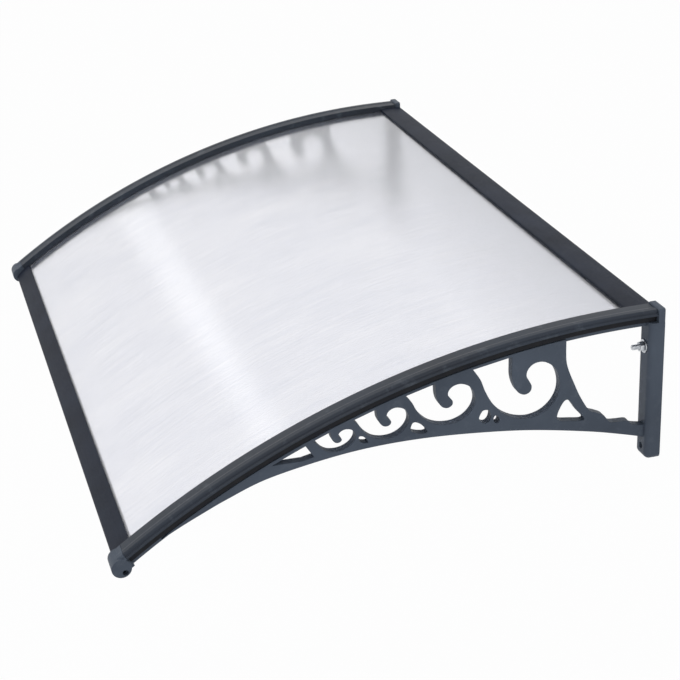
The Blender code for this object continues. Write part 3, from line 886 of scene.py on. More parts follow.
@dataclass(frozen=True)
class SealRubber:
    """Black seal rubber: matt, faintly dusty, with a fine skin; its near-black is also painted
    shade for the recess under the strip's lip.
    """

    name: str = "seal_rubber"
    # Near-black and bluish: the rubber's own black, and painted shade for the recess under the
    # strip's lip.
    dark: Colour = srgb(8, 11, 18)
    worn: Colour = srgb(20, 25, 35)

    def material(self) -> bpy.types.Material:
        """Return the material."""
        bench = NodeBench(self.name)
        place = bench.place()
        dust = bench.noise(place, 75.0, 5.0, 0.65)
        skin = bench.noise(place, 1100.0, 2.0, 0.5)
        bench.colour(bench.mix(bench.ramp(dust, 0.45, 0.80), self.dark, self.worn))
        bench.roughness(bench.ramp(dust, 0.35, 0.75, 0.62, 0.82))
        bench.bump(skin, 0.00005, 0.5)
        bench.set(Specular_IOR_Level=0.30)
        return bench.material


@dataclass(frozen=True)
class PlatedSteel:
    """Zinc-plated steel: bright grey with cloudy passivation and drawn scratches."""

    name: str = "zinc_plate"
    bright: Colour = srgb(196, 200, 206)
    cloudy: Colour = srgb(150, 155, 163)
    roughness_low: float = 0.22
    roughness_high: float = 0.44

    def material(self) -> bpy.types.Material:
        """Return the material."""
        bench = NodeBench(self.name)
        cloud = bench.noise(bench.place(), 240.0, 4.0, 0.6)
        scratch = bench.noise(bench.place((300.0, 300.0, 2600.0)), 1.0, 3.0, 0.6)
        bench.colour(bench.mix(bench.ramp(cloud, 0.35, 0.70), self.bright, self.cloudy))
        bench.roughness(bench.ramp(bench.total(cloud, scratch, 0.5), 0.50, 1.0,
                                   self.roughness_low, self.roughness_high))
        bench.bump(scratch, 0.00003, 0.4)
        bench.set(Metallic=1.0)
        return bench.material


@dataclass(frozen=True)
class Finishes:
    """The materials of the whole canopy."""

    sheet: bpy.types.Material
    moulding: bpy.types.Material
    strip: bpy.types.Material
    bar: bpy.types.Material
    seal: bpy.types.Material
    screw: bpy.types.Material
    bolt: bpy.types.Material

    @classmethod
    def mixed(cls) -> "Finishes":
        """Return every finish, mixed once."""
        return cls(
            sheet=FrostedSheet().material(),
            moulding=MouldedPlastic().material(),
            strip=MouldedPlastic(name="slate_strip", dark=srgb(34, 40, 50),
                                 light=srgb(50, 58, 70), roughness_low=0.36,
                                 roughness_high=0.50, gloss=0.28).material(),
            bar=PowderCoat().material(),
            seal=SealRubber().material(),
            screw=PlatedSteel().material(),
            bolt=PlatedSteel(name="bolt_zinc_plate", bright=srgb(208, 211, 215),
                             cloudy=srgb(168, 172, 178)).material(),
        )


# Sheet, strips and seals


@dataclass(frozen=True)
class Part:
    """A part of the canopy, built with the shared sizes and materials."""

    layout: Layout
    finishes: Finishes


@dataclass(frozen=True)
class SidePart(Part):
    """A part that both sides of the canopy have."""

    side: Side

    def named(self, name: str) -> str:
        """Return a name with this side's label."""
        return "%s_%s" % (name, self.side.label)

    def swept(self, name: str, section: Sequence[Point], first: float, last: float,
              pitch: float = 0.0075) -> bpy.types.Object:
        """Extrude a section along the arch on this side.

        Args:
            name: The object's name, without the side.
            section: Closed section of (inset, n) points.
            first: Length along the arch of the wall end.
            last: Length along the arch of the front end.
            pitch: Greatest step along the arch.

        Returns:
            The new object.
        """
        points = [(self.side.value * (self.layout.half - inset), n) for inset, n in section]
        return sweep(self.named(name), points, first, last, self.layout.arch, pitch)


@dataclass(frozen=True)
class RoofSheet(Part):
    """The arched sheet that sheds the rain."""

    columns: int = 40
    pitch: float = 0.006

    def build(self) -> None:
        """Build and dress the sheet."""
        lay, columns = self.layout, self.columns
        half = lay.half - lay.sheet_inset
        across = [-half + 2.0 * half * k / columns for k in range(columns + 1)]
        section = [(x, 0.0) for x in across] + [(x, -lay.sheet_thick) for x in reversed(across)]
        sheet = sweep("frosted_sheet", section, lay.sheet_back, lay.sheet_front, lay.arch,
                      self.pitch)
        install(shade(sheet, 40.0), ["roof_sheet"], self.finishes.sheet)


@dataclass(frozen=True)
class CoverStrip(SidePart):
    """The ribbed strip that clamps the sheet's side edge from above."""

    flat_rise: float = 0.0104
    rib_rise: float = 0.0115
    rib_width: float = 0.0135
    rib_round: float = 0.0038
    wall: float = 0.0024
    lip_out: float = 0.0036
    lip_top: float = 0.0062
    lip_bottom: float = 0.0034
    boss_width: float = 0.0062
    foot_lean: float = 0.0012
    edge: float = 0.0004

    def outer_outline(self) -> list[Point]:
        """Return the outline over the top, from the inner foot to the lip, as (inset, n)."""
        lay, inner = self.layout, self.layout.strip_width
        rib_inner = self.lip_out + self.rib_width
        centre_n = self.rib_rise - self.rib_round
        points = [(inner, lay.gap), (inner - self.foot_lean, self.flat_rise - 0.0006),
                  (inner - self.foot_lean - 0.0010, self.flat_rise),
                  (rib_inner + 0.0020, self.flat_rise),
                  (rib_inner - 0.0004,
                   self.flat_rise + (self.rib_rise - self.flat_rise) * 0.25)]
        points += arc((rib_inner - self.rib_round, centre_n), self.rib_round, 62, 90, 4)
        points += arc((self.lip_out + self.rib_round, centre_n), self.rib_round, 90, 180, 10)
        low = max(self.lip_top + 0.0004, self.flat_rise - self.rib_round)
        points += [(self.lip_out, low), (self.lip_out - 0.0006, self.lip_top),
                   (0.0008, self.lip_top - 0.0005), (0.0, self.lip_top - 0.0013),
                   (0.0, self.lip_bottom)]
        return points

    def section(self) -> list[Point]:
        """Return the strip's closed section with its screw boss, as (inset, n)."""
        lay, wall = self.layout, self.wall
        inner, boss_half = lay.strip_width - wall, self.boss_width / 2.0
        boss_out, boss_in = lay.screw_inset - boss_half, lay.screw_inset + boss_half
        side = self.lip_out + wall
        flat, top = self.flat_rise - wall, self.rib_rise - wall
        rib = self.lip_out + self.rib_width
        return self.outer_outline() + [
            (side, self.lip_bottom), (side, top - 0.0010), (side + 0.0012, top),
            (rib - 0.0035, top), (rib - 0.0010, flat), (boss_out, flat), (boss_out, lay.gap),
            (boss_in, lay.gap), (boss_in, flat), (inner, flat), (inner, lay.gap)]

    def build(self) -> None:
        """Build and dress the strip."""
        lay = self.layout
        strip = self.swept("slate_strip", self.section(), lay.strip_back, lay.strip_front)
        install(polish(strip, self.edge, 50.0, 2), [self.named("cover_strip")],
                self.finishes.strip)


@dataclass(frozen=True)
class EdgeSeal(SidePart):
    """The rubber channel on the sheet's side edge."""

    lip_reach: float = 0.0040
    edge: float = 0.0004

    def section(self) -> list[Point]:
        """Return the closed channel as (inset, n)."""
        lay = self.layout
        web = lay.sheet_inset - lay.gap
        tip = lay.sheet_inset + self.lip_reach
        top, low = lay.gap, -lay.sheet_thick - lay.gap
        return [(lay.seal_inset, top + lay.seal_wall), (tip, top + lay.seal_wall), (tip, top),
                (web, top), (web, low), (tip, low), (tip, low - lay.seal_wall),
                (lay.seal_inset, low - lay.seal_wall)]

    def build(self) -> None:
        """Build and dress the seal."""
        lay = self.layout
        seal = self.swept("rubber_channel", self.section(), lay.strip_back, lay.strip_front)
        install(polish(seal, self.edge, 50.0, 2), [self.named("edge_seal")],
                self.finishes.seal)


# Bars


@dataclass(frozen=True)
class WallBar(Part):
    """The slotted extrusion that carries the sheet's wall edge."""

    edge: float = 0.00035
    corner: float = 0.0006
    divisions: int = 24

    def outlines(self) -> list[list[Point]]:
        """Return the bar's outline and its hollow as (out, z)."""
        lay, corner = self.layout, self.corner
        depth, slot_back = lay.wall_bar_depth, lay.wall_bar_depth - lay.slot_depth
        crown = []
        for k in range(self.divisions + 1):
            t = k / self.divisions
            rise = lay.wall_bar_lip + 4.0 * lay.bar_crown * t * (1.0 - t)
            crown.append((corner + (depth - 2.0 * corner) * t, rise))
        outer = [(0.0, lay.wall_bar_lip - corner), *crown, (depth, lay.wall_bar_lip - corner),
                 (depth, lay.gap), (slot_back, lay.gap), (slot_back, -lay.sheet_thick - lay.gap),
                 (depth, -lay.sheet_thick - lay.gap), (depth, -lay.bar_drop),
                 (0.0, -lay.bar_drop)]
        low, top = -lay.bar_drop + lay.bar_wall, lay.wall_bar_lip - lay.wall_bar_roof
        hollow = [(lay.bar_wall, low), (slot_back - lay.bar_wall, low),
                  (slot_back - lay.bar_wall, top), (lay.bar_wall, top)]
        return [outer, hollow]

    def build(self) -> None:
        """Build and dress the bar."""
        bar = extrude_outlines("slate_wall_bar", self.outlines(), 2.0 * self.layout.bar_end,
                               side_view(0.0))
        install(polish(bar, self.edge, 40.0, 2), ["wall_bar"], self.finishes.bar)


@dataclass(frozen=True)
class FrontBar(Part):
    """The round-nosed extrusion on the sheet's front edge."""

    nose_radius: float = 0.0055
    top_fall: float = 0.0022
    edge: float = 0.00035
    corner: float = 0.0006
    chamfer: float = 0.0010
    hollow_drop: float = 0.0006
    hollow_inset: float = 0.0012
    hollow_round: float = 0.0020
    divisions: int = 20

    def local_outlines(self) -> list[list[Point]]:
        """Return the bar's outline and hollow as (back from its outer edge, n)."""
        lay, nose, lip = self.layout, self.nose_radius, self.layout.front_bar_lip
        depth, slot_back = lay.front_bar_depth, lay.front_bar_depth - lay.slot_depth
        top_front = lip - self.top_fall
        outer = [(depth, lay.gap), (depth, lip - self.corner), (depth - self.corner, lip)]
        for k in range(1, self.divisions):
            t = k / self.divisions
            line = lip + (top_front - lip) * t
            outer.append((depth - (depth - nose) * t, line + 4.0 * lay.bar_crown * t * (1.0 - t)))
        outer += arc((nose, top_front - nose), nose, 90, 180, 12)
        outer += [(0.0, -lay.bar_drop + self.chamfer), (self.chamfer, -lay.bar_drop),
                  (depth, -lay.bar_drop), (depth, -lay.sheet_thick - lay.gap),
                  (slot_back, -lay.sheet_thick - lay.gap), (slot_back, lay.gap)]
        wall, soft = lay.bar_wall, self.hollow_round
        low, top = -lay.bar_drop + wall, top_front - wall - self.hollow_drop
        first, last = wall + self.hollow_inset, slot_back - wall
        hollow = [(first, low), (first, top - soft), (first + soft, top), (last, top),
                  (last, low)]
        return [outer, hollow]

    def placed(self, points: Sequence[Point]) -> list[Point]:
        """Place points of the bar in the side view, square to the arch at its end.

        Args:
            points: Points as (back from the outer edge, n).

        Returns:
            The points as (out, z).
        """
        arch = self.layout.arch
        slope = arch.slope(arch.length)
        out, z = arch.point(arch.length, 0.0)
        result = []
        for back, n in points:
            lifted = n - back * back / (2.0 * arch.radius)
            result.append((out - math.cos(slope) * back + math.sin(slope) * lifted,
                           z + math.sin(slope) * back + math.cos(slope) * lifted))
        return result

    def build(self) -> None:
        """Build and dress the bar."""
        outlines = [self.placed(outline) for outline in self.local_outlines()]
        bar = extrude_outlines("slate_front_bar", outlines, 2.0 * self.layout.bar_end,
                               side_view(0.0))
        install(polish(bar, self.edge, 40.0, 2), ["front_bar"], self.finishes.bar)


# Brackets


@dataclass(frozen=True)
class ScrollPattern:
    """The openings of a bracket's web, drawn in the side view."""

    layout: Layout
    web_overlap: float = 0.0008
    # Each scroll: wall-side end and front-side end along the arch, and depth of its bowl
    scrolls: tuple[tuple[float, float, float], ...] = (
        (0.1619, 0.2880, 0.1156), (0.2935, 0.3905, 0.0829), (0.3950, 0.4705, 0.0650),
        (0.4755, 0.5327, 0.0479))
    # One scroll in a unit box: towards the front, and down from the flange to the bowl
    scroll_shape: tuple[Point, ...] = (
        (1.000, 0.000), (0.940, 0.190), (0.915, 0.370), (0.865, 0.570), (0.770, 0.770),
        (0.640, 0.905), (0.500, 0.980), (0.370, 1.000), (0.225, 0.965), (0.105, 0.870),
        (0.030, 0.745), (0.000, 0.600), (0.015, 0.430), (0.070, 0.300), (0.175, 0.205),
        (0.285, 0.195), (0.365, 0.255), (0.395, 0.345), (0.370, 0.440), (0.350, 0.520),
        (0.375, 0.595), (0.445, 0.620), (0.520, 0.565), (0.562, 0.440), (0.572, 0.300),
        (0.555, 0.150), (0.535, 0.000))
    scroll_corners: tuple[int, int] = (0, 26)
    arm_lower: tuple[Point, ...] = (
        (0.0080, -0.1926), (0.0572, -0.1778), (0.1117, -0.1635), (0.1964, -0.1462),
        (0.2766, -0.1358), (0.3571, -0.1297), (0.4328, -0.1297), (0.5035, -0.1364),
        (0.5841, -0.1510), (0.6394, -0.1707), (0.6745, -0.1858), (0.7060, -0.2004),
        (0.7330, -0.2141))
    arm_upper: tuple[Point, ...] = (
        (0.0080, -0.1715), (0.0384, -0.1655), (0.0473, -0.1582), (0.0631, -0.1568),
        (0.0760, -0.1543), (0.0858, -0.1423), (0.0968, -0.1363), (0.1087, -0.1298),
        (0.1226, -0.1067), (0.1335, -0.0816), (0.1410, -0.0625), (0.1450, -0.0453),
        (0.1455, -0.0156))
    small_openings: tuple[tuple[Point, ...], ...] = (
        ((0.1425, -0.1078), (0.1544, -0.1209), (0.1564, -0.1370), (0.1345, -0.1425),
         (0.1156, -0.1439), (0.1265, -0.1289)),
        ((0.3722, -0.1030), (0.3758, -0.1141), (0.3652, -0.1207), (0.3521, -0.1212),
         (0.3611, -0.1075)),
        ((0.4509, -0.1110), (0.4479, -0.1196), (0.4378, -0.1211), (0.4444, -0.1115)),
        ((0.2710, -0.1040), (0.2655, -0.1024), (0.2605, -0.1045), (0.2575, -0.1115),
         (0.2600, -0.1196), (0.2650, -0.1231), (0.2706, -0.1211), (0.2756, -0.1141)),
        ((0.2540, -0.1181), (0.2520, -0.1140), (0.2485, -0.1145), (0.2455, -0.1196),
         (0.2460, -0.1241), (0.2495, -0.1256), (0.2530, -0.1231)))
    wedge_first: float = 0.5450
    wedge_last: float = 0.5980
    wedge_depth: float = 0.0300

    def scroll(self, first: float, last: float, depth: float) -> list[Point]:
        """Return one scroll opening.

        Args:
            first: Its wall-side end along the arch.
            last: Its front-side end along the arch.
            depth: Depth of its bowl below the sheet's top.

        Returns:
            The closed outline.
        """
        top = self.layout.flange_bottom - self.web_overlap
        points = [self.layout.arch.point(first + (last - first) * u, -top - (depth - top) * v)
                  for u, v in self.scroll_shape]
        return curve_through(points, self.scroll_corners, 5)

    def wedge(self) -> list[Point]:
        """Return the opening between the last scroll, the flange and the arm."""
        arch, bottom = self.layout.arch, self.layout.flange_bottom
        first, depth = self.wedge_first, self.wedge_depth
        top = [arch.point(first + (self.wedge_last - first) * k / 8.0, -bottom)
               for k in range(9)]
        return top + [arch.point(first + 0.0300, -bottom - depth * 0.34),
                      arch.point(first + 0.0130, -bottom - depth * 0.60),
                      arch.point(first - 0.0035, -bottom - depth * 0.70)]

    def outlines(self) -> list[list[Point]]:
        """Return the web's outer outline and all its openings."""
        lay = self.layout
        lower = curve_through(self.arm_lower, steps=8, closed=False)
        upper = curve_through(self.arm_upper, steps=8, closed=False)
        middle = (lay.flange_top + lay.flange_bottom) / 2.0
        along = [lay.arch.point(s, -middle) for s in lay.arch.stations(0.0, lay.arch.length, 0.01)]
        chord = [p for p in along if upper[-1][0] + 0.002 < p[0] < lower[-1][0] - 0.006]
        outer = upper + chord + list(reversed(lower))
        holes = [self.scroll(*scroll) for scroll in self.scrolls]
        holes += [curve_through(opening, steps=6) for opening in self.small_openings]
        return [outer, *holes, self.wedge()]


@dataclass(frozen=True)
class Bracket(SidePart):
    """One wall bracket moulding: plate, scrolled web, flange, bar tongues and nose."""

    web_inset: float = 0.010
    web_thick: float = 0.014
    web_edge: float = 0.0009
    flange_inset: float = 0.0143
    plate_width: float = 0.0348
    plate_drop: float = 0.222
    plate_round: float = 0.0085
    head_depth: float = 0.010
    head_rise: float = 0.0135
    head_foot: float = 0.010
    head_round: float = 0.0030
    hole_radius: float = 0.0045
    drill_reach: float = 0.03
    nose_drop: float = 0.0025
    nose_inset: float = 0.0004
    nose_round: float = 0.0012
    nose_hole_radius: float = 0.0042
    nose_hole_depth: float = 0.014
    nose_hole_drop: float = 0.0105
    tongue_root: float = 0.006
    tongue_length: float = 0.024
    edge: float = 0.0005

    def span(self, first: float, second: float) -> Point:
        """Return the low and high x between two insets."""
        ends = [self.side.value * (self.layout.half - inset) for inset in (first, second)]
        return min(ends), max(ends)

    def web(self) -> bpy.types.Object:
        """Return the scrolled web."""
        middle = self.side.value * (self.layout.half - self.web_inset - self.web_thick / 2.0)
        web = extrude_outlines(self.named("slate_bracket"), ScrollPattern(self.layout).outlines(),
                               self.web_thick, side_view(middle), self.web_edge)
        return polish(web, corner_deg=50.0)

    def flange(self) -> bpy.types.Object:
        """Return the flange that the sheet and the seal lie on."""
        lay, low, top = self.layout, -self.layout.flange_bottom, -self.layout.flange_top
        section = [(self.flange_inset, top), (lay.strip_width, top), (lay.strip_width, low),
                   (self.flange_inset, low)]
        flange = self.swept("slate_flange", section, lay.plate_depth / 2.0, lay.nose_s)
        return polish(flange, self.edge)

    def plate(self) -> list[bpy.types.Object]:
        """Return the drilled wall plate, its head and the step under the sheet."""
        lay = self.layout
        x0, x1 = self.span(0.0, self.plate_width)
        top = -lay.sheet_thick - 2.0 * lay.gap - lay.seal_wall
        plate = block(self.named("slate_wall_plate"), (x0, -lay.plate_depth, -self.plate_drop),
                      (x1, 0.0, top))
        self.round_edges(plate, self.plate_round, 7, lambda mid, size: (
            (mid.y < -size.y * 0.4 and mid.z < size.z * 0.4)
            or (mid.z < -size.z * 0.4 and abs(mid.y) < size.y * 0.1)))
        drills = [drill(self.hole_radius, self.drill_reach,
                        Vector(((x0 + x1) / 2.0, -lay.plate_depth / 2.0, z)),
                        Vector((0.0, 1.0, 0.0)))
                  for z in (lay.upper_bolt_z, lay.lower_hole_z)]
        head = block(self.named("slate_plate_head"),
                     (x0 + lay.gap, -self.head_depth, top - self.head_foot),
                     (x1 - lay.gap, 0.0, self.head_rise))
        self.round_edges(head, self.head_round, 5, lambda mid, size: (
            mid.z > size.z * 0.4 and mid.y < size.y * 0.4))
        x0, x1 = self.span(self.flange_inset + lay.gap, lay.strip_width - lay.gap)
        step = block(self.named("slate_plate_step"),
                     (x0, -lay.sheet_back + lay.gap, -lay.flange_bottom + lay.flange_thick / 2.0),
                     (x1, -self.head_depth / 2.0, 0.0))
        return [polish(cut(plate, drills), self.edge, 45.0, 2),
                polish(head, self.edge, 45.0, 2), polish(step, self.edge)]

    @staticmethod
    def round_edges(piece: bpy.types.Object, radius: float, steps: int,
                    pick: Callable[[Vector, Vector], bool]) -> None:
        """Round the edges of a block that a test picks.

        Args:
            piece: The block.
            radius: Radius of the rounding.
            steps: Steps across it.
            pick: Test of an edge's middle and the block's size, from the block's centre.
        """
        bm = bmesh.new()
        bm.from_mesh(piece.data)
        low = Vector([min(v.co[i] for v in bm.verts) for i in range(3)])
        high = Vector([max(v.co[i] for v in bm.verts) for i in range(3)])
        centre, size = (low + high) / 2.0, high - low
        edges = [e for e in bm.edges
                 if pick((e.verts[0].co + e.verts[1].co) / 2.0 - centre, size)]
        bmesh.ops.bevel(bm, geom=edges, offset=radius, segments=steps, profile=0.5,
                        affect="EDGES")
        bm.to_mesh(piece.data)
        bm.free()

    def tongues(self) -> list[bpy.types.Object]:
        """Return the two tongues inside the bars' ends."""
        lay, gap = self.layout, self.layout.gap
        x0, x1 = self.span(lay.strip_width - self.tongue_root,
                           lay.strip_width + self.tongue_length)
        (out0, z0), (out1, _), (_, z1) = WallBar(lay, self.finishes).outlines()[1][:3]
        wall = block(self.named("slate_wall_tongue"), (x0, -out1 + gap, z0 + gap),
                     (x1, -out0 - gap, z1 - gap))
        front_bar = FrontBar(lay, self.finishes)
        hollow = front_bar.local_outlines()[1]
        backs, heights = zip(*hollow)
        back0, back1 = max(backs[:3]) + gap, max(backs) - gap
        n0, n1 = min(heights) + gap, max(heights) - gap
        inner = front_bar.placed([(back0, n0), (back1, n0), (back1, n1), (back0, n1)])
        front = extrude_outlines(self.named("slate_front_tongue"), [inner], x1 - x0,
                                 side_view((x0 + x1) / 2.0))
        return [polish(wall, self.edge), polish(front, self.edge)]

    def nose(self) -> list[bpy.types.Object]:
        """Return the rounded nose with its blind hole, and the shoulder behind it."""
        lay, across = self.layout, Vector((1.0, 0.0, 0.0))
        x0, x1 = self.span(self.nose_inset, lay.strip_width - self.nose_inset)
        half, radius, rim = (x1 - x0) / 2.0, lay.nose_radius, self.nose_round
        profile = [(0.0, -half), *arc((radius - rim, -half + rim), rim, -90, 0, 5),
                   *arc((radius - rim, half - rim), rim, 0, 90, 5), (0.0, half)]
        nose = turned(self.named("slate_nose"), profile, 72)
        nose.data.transform(aim(lay.arch.place((x0 + x1) / 2.0, lay.nose_s, -self.nose_drop),
                                across))
        hole = drill(self.nose_hole_radius, self.nose_hole_depth,
                     lay.arch.place(self.side.value * lay.half, lay.nose_s, -self.nose_hole_drop),
                     across)
        strip = CoverStrip(lay, self.finishes, self.side)
        section = [(lay.strip_width, -lay.flange_bottom), *strip.outer_outline()[1:],
                   (lay.seal_inset, strip.lip_bottom), (lay.seal_inset, -lay.flange_bottom)]
        shoulder = self.swept("slate_shoulder", section, lay.strip_front + lay.gap, lay.nose_s,
                              0.004)
        return [polish(cut(nose, [hole]), corner_deg=40.0), polish(shoulder, self.edge, 50.0, 2)]

    def build(self) -> None:
        """Build and dress the bracket: its web, with its other parts beside it."""
        parts = [self.flange(), *self.plate(), *self.tongues(), *self.nose()]
        install(self.web(), [self.named("bracket")], self.finishes.moulding, parts)


# Fasteners


@dataclass(frozen=True)
class PanScrew(Part):
    """A pan-head screw with a cross recess; its seat is at its own origin, the shank along +Z."""

    radius: float = 0.0018
    head_radius: float = 0.0036
    head_height: float = 0.0024
    head_taper: float = 0.72
    recess_width: float = 0.0008
    recess_depth: float = 0.0014
    pitch: float = 0.0010
    thread_root: float = 0.80

    def build(self, name: str, length: float, matrix: Matrix, node: str) -> None:
        """Build one screw and put it in its hole.

        Args:
            name: The piece's name.
            length: Length of its shank.
            matrix: Where it goes.
            node: The CAD node that it stands for.
        """
        gap, radius, head = self.layout.gap, self.radius - self.layout.gap, self.head_radius
        low, small = -self.head_height - gap, head * self.head_taper
        profile = [(0.0, low), (small * 0.72, low), (small, low + 0.00022),
                   (head - 0.0003, low + self.head_height * 0.52),
                   (head, low + self.head_height * 0.72), (head, -gap), (radius, -gap)]
        z, crest = 0.0, True
        while z < length - 0.0012:
            profile.append((radius if crest else radius * self.thread_root, z))
            z += self.pitch / 2.0
            crest = not crest
        profile += [(radius * 0.35, length - gap), (0.0, length - gap)]
        screw = turned(name, profile, 28)
        reach, half = small * 0.78, self.recess_width / 2.0
        wings = []
        for turn in (0.0, math.pi / 2.0):
            wings.append(block("wing", (-reach, -half, low - 0.001),
                               (reach, half, low + self.recess_depth)))
            wings[-1].matrix_world = Matrix.Rotation(turn, 4, "Z")
        shade(cut(screw, wings), 35.0)
        screw.matrix_world = matrix
        install(screw, [node], self.finishes.screw)


@dataclass(frozen=True)
class SheetScrews(SidePart):
    """All the screws that hold one side's strip and bar ends."""

    count: int = 5
    first: float = 0.060
    end_margin: float = 0.055
    strip_bite: float = 0.0070
    bar_bite: float = 0.0050
    bar_inset: float = 0.012
    turn_each: float = 0.7
    bar_turn: float = 0.4

    def build(self) -> None:
        """Build and dress the screws."""
        lay, screw = self.layout, PanScrew(self.layout, self.finishes)
        x = self.side.value * (lay.half - lay.screw_inset)
        last = lay.strip_front - self.end_margin
        for number in range(1, self.count + 1):
            s = self.first + (last - self.first) * (number - 1) / (self.count - 1)
            matrix = aim(lay.arch.place(x, s, -lay.flange_bottom), lay.arch.up(s),
                         self.turn_each * number)
            screw.build("%s_%d" % (self.named("pan_screw"), number),
                        lay.flange_bottom + self.strip_bite, matrix,
                        "%s_%d" % (self.named("strip_screw"), number))
        x = self.side.value * (lay.bar_end - self.bar_inset)
        wall_middle = (lay.wall_bar_depth - lay.slot_depth) / 2.0
        front_middle = (lay.front_bar_depth - lay.slot_depth) / 2.0
        (out, z), = FrontBar(lay, self.finishes).placed([(front_middle, -lay.bar_drop)])
        seats = (("wall", Vector((x, -wall_middle, -lay.bar_drop)), Vector((0.0, 0.0, 1.0))),
                 ("front", Vector((x, -out, z)), lay.arch.up(lay.arch.length)))
        for label, seat, up in seats:
            screw.build(self.named("bar_pan_screw_" + label), lay.bar_wall + self.bar_bite,
                        aim(seat, up, self.bar_turn), self.named("bar_screw_" + label))


@dataclass(frozen=True)
class WallFixing(SidePart):
    """The anchor bolt's threaded end with its washer and nut, at the plate's upper hole."""

    bolt_radius: float = 0.0040
    stand_out: float = 0.0195
    pitch: float = 0.00125
    thread_depth: float = 0.00055
    thread_steps: int = 8
    washer_radius: float = 0.0100
    washer_thick: float = 0.0016
    washer_soft: float = 0.0003
    nut_across: float = 0.0130
    nut_height: float = 0.0065
    nut_face: float = 0.95
    nut_chamfer_deg: float = 30.0
    spin_deg: float = 10.0
    sides: int = 48

    def bolt(self) -> bpy.types.Object:
        """Return the bolt, threaded outside the plate, with its origin at the wall."""
        bm = bmesh.new()
        thread_from = self.layout.plate_depth
        end = thread_from + self.stand_out
        heights = [self.layout.gap, thread_from]
        step = self.pitch / self.thread_steps
        while heights[-1] + step < end - 0.0006:
            heights.append(heights[-1] + step)
        rings = []
        for z in (*heights, end - 0.0003, end):
            ring = []
            for k in range(self.sides):
                turn, radius = k / self.sides, self.bolt_radius
                if z > thread_from:
                    wave = abs(((z / self.pitch - turn) % 1.0) * 2.0 - 1.0)
                    radius -= self.thread_depth * wave
                if z > end - 0.0005:
                    radius = min(radius, self.bolt_radius - 0.0006 - (z - end + 0.0003))
                ring.append(bm.verts.new(spoke(radius, math.tau * turn, z)))
            rings.append(ring)
        bridge(bm, rings)
        bm.faces.new(rings[0])
        bm.faces.new(rings[-1])
        return shade(add_object(self.named("anchor_bolt"), bm), 50.0)

    def washer(self) -> bpy.types.Object:
        """Return the washer, with its origin on the face that meets the plate."""
        inner, outer = self.bolt_radius + self.layout.gap, self.washer_radius
        thick, soft = self.washer_thick, self.washer_soft
        profile = [(inner, soft), (inner + soft, 0.0), (outer - soft, 0.0), (outer, soft),
                   (outer, thick - soft), (outer - soft, thick), (inner + soft, thick),
                   (inner, thick - soft)]
        return shade(turned(self.named("flat_washer"), profile, 64), 30.0)

    def nut(self) -> bpy.types.Object:
        """Return the chamfered nut, with its origin on the face that meets the washer."""
        bm = bmesh.new()
        flat, count, sixth = self.nut_across / 2.0, self.sides, math.pi / 3.0
        face, bore = flat * self.nut_face, self.bolt_radius + self.layout.gap
        angles = [math.tau * k / count for k in range(count)]
        hexagon = [flat / math.cos((a + sixth / 2.0) % sixth - sixth / 2.0) for a in angles]
        fall = [max(0.0, r - face) * math.tan(math.radians(self.nut_chamfer_deg))
                for r in hexagon]
        levels = [([bore] * count, [0.0006] * count), ([bore + 0.0005] * count, [0.0] * count),
                  ([face] * count, [0.0] * count), (hexagon, fall)]
        levels += [(radii, [self.nut_height - z for z in heights])
                   for radii, heights in reversed(levels)]
        rings = [[bm.verts.new(spoke(r, a, z)) for r, a, z in zip(radii, angles, heights)]
                 for radii, heights in levels]
        bridge(bm, [*rings, rings[0]])
        return shade(add_object(self.named("hex_nut"), bm), 20.0)

    def build(self) -> None:
        """Build and dress the bolt, the washer and the nut."""
        lay = self.layout
        x = self.side.value * (lay.half - lay.strip_width / 2.0)
        washer_y = -lay.plate_depth - lay.gap
        nut_y = washer_y - self.washer_thick - lay.gap
        for piece, y, spin, node in (
                (self.bolt(), 0.0, self.spin_deg, "wall_bolt"),
                (self.washer(), washer_y, self.spin_deg, "wall_washer"),
                (self.nut(), nut_y, 0.0, "wall_nut")):
            piece.matrix_world = aim(Vector((x, y, lay.upper_bolt_z)), Vector((0.0, -1.0, 0.0)),
                                     math.radians(spin))
            install(piece, [self.named(node)], self.finishes.bolt)


# Studio


@dataclass(frozen=True)
class Lamp:
    """One soft rectangular lamp."""

    name: str
    place: tuple[float, float, float]
    target: tuple[float, float, float]
    size: Point
    radiance: float
    upright: tuple[float, float, float] = (0.0, 0.0, 1.0)

    def build(self) -> None:
        """Build the lamp and aim it at its target."""
        light = bpy.data.lights.new(self.name, "AREA")
        light.shape = "RECTANGLE"
        light.size, light.size_y = self.size
        light.energy = self.radiance * math.pi * self.size[0] * self.size[1]
        lamp = bpy.data.objects.new(self.name, light)
        back = (Vector(self.place) - Vector(self.target)).normalized()
        right = Vector(self.upright).cross(back).normalized()
        turn = Matrix((right, back.cross(right), back)).transposed()
        lamp.matrix_world = Matrix.Translation(self.place) @ turn.to_4x4()
        lamp.visible_camera = False
        lamp.visible_transmission = False
        bpy.context.scene.collection.objects.link(lamp)


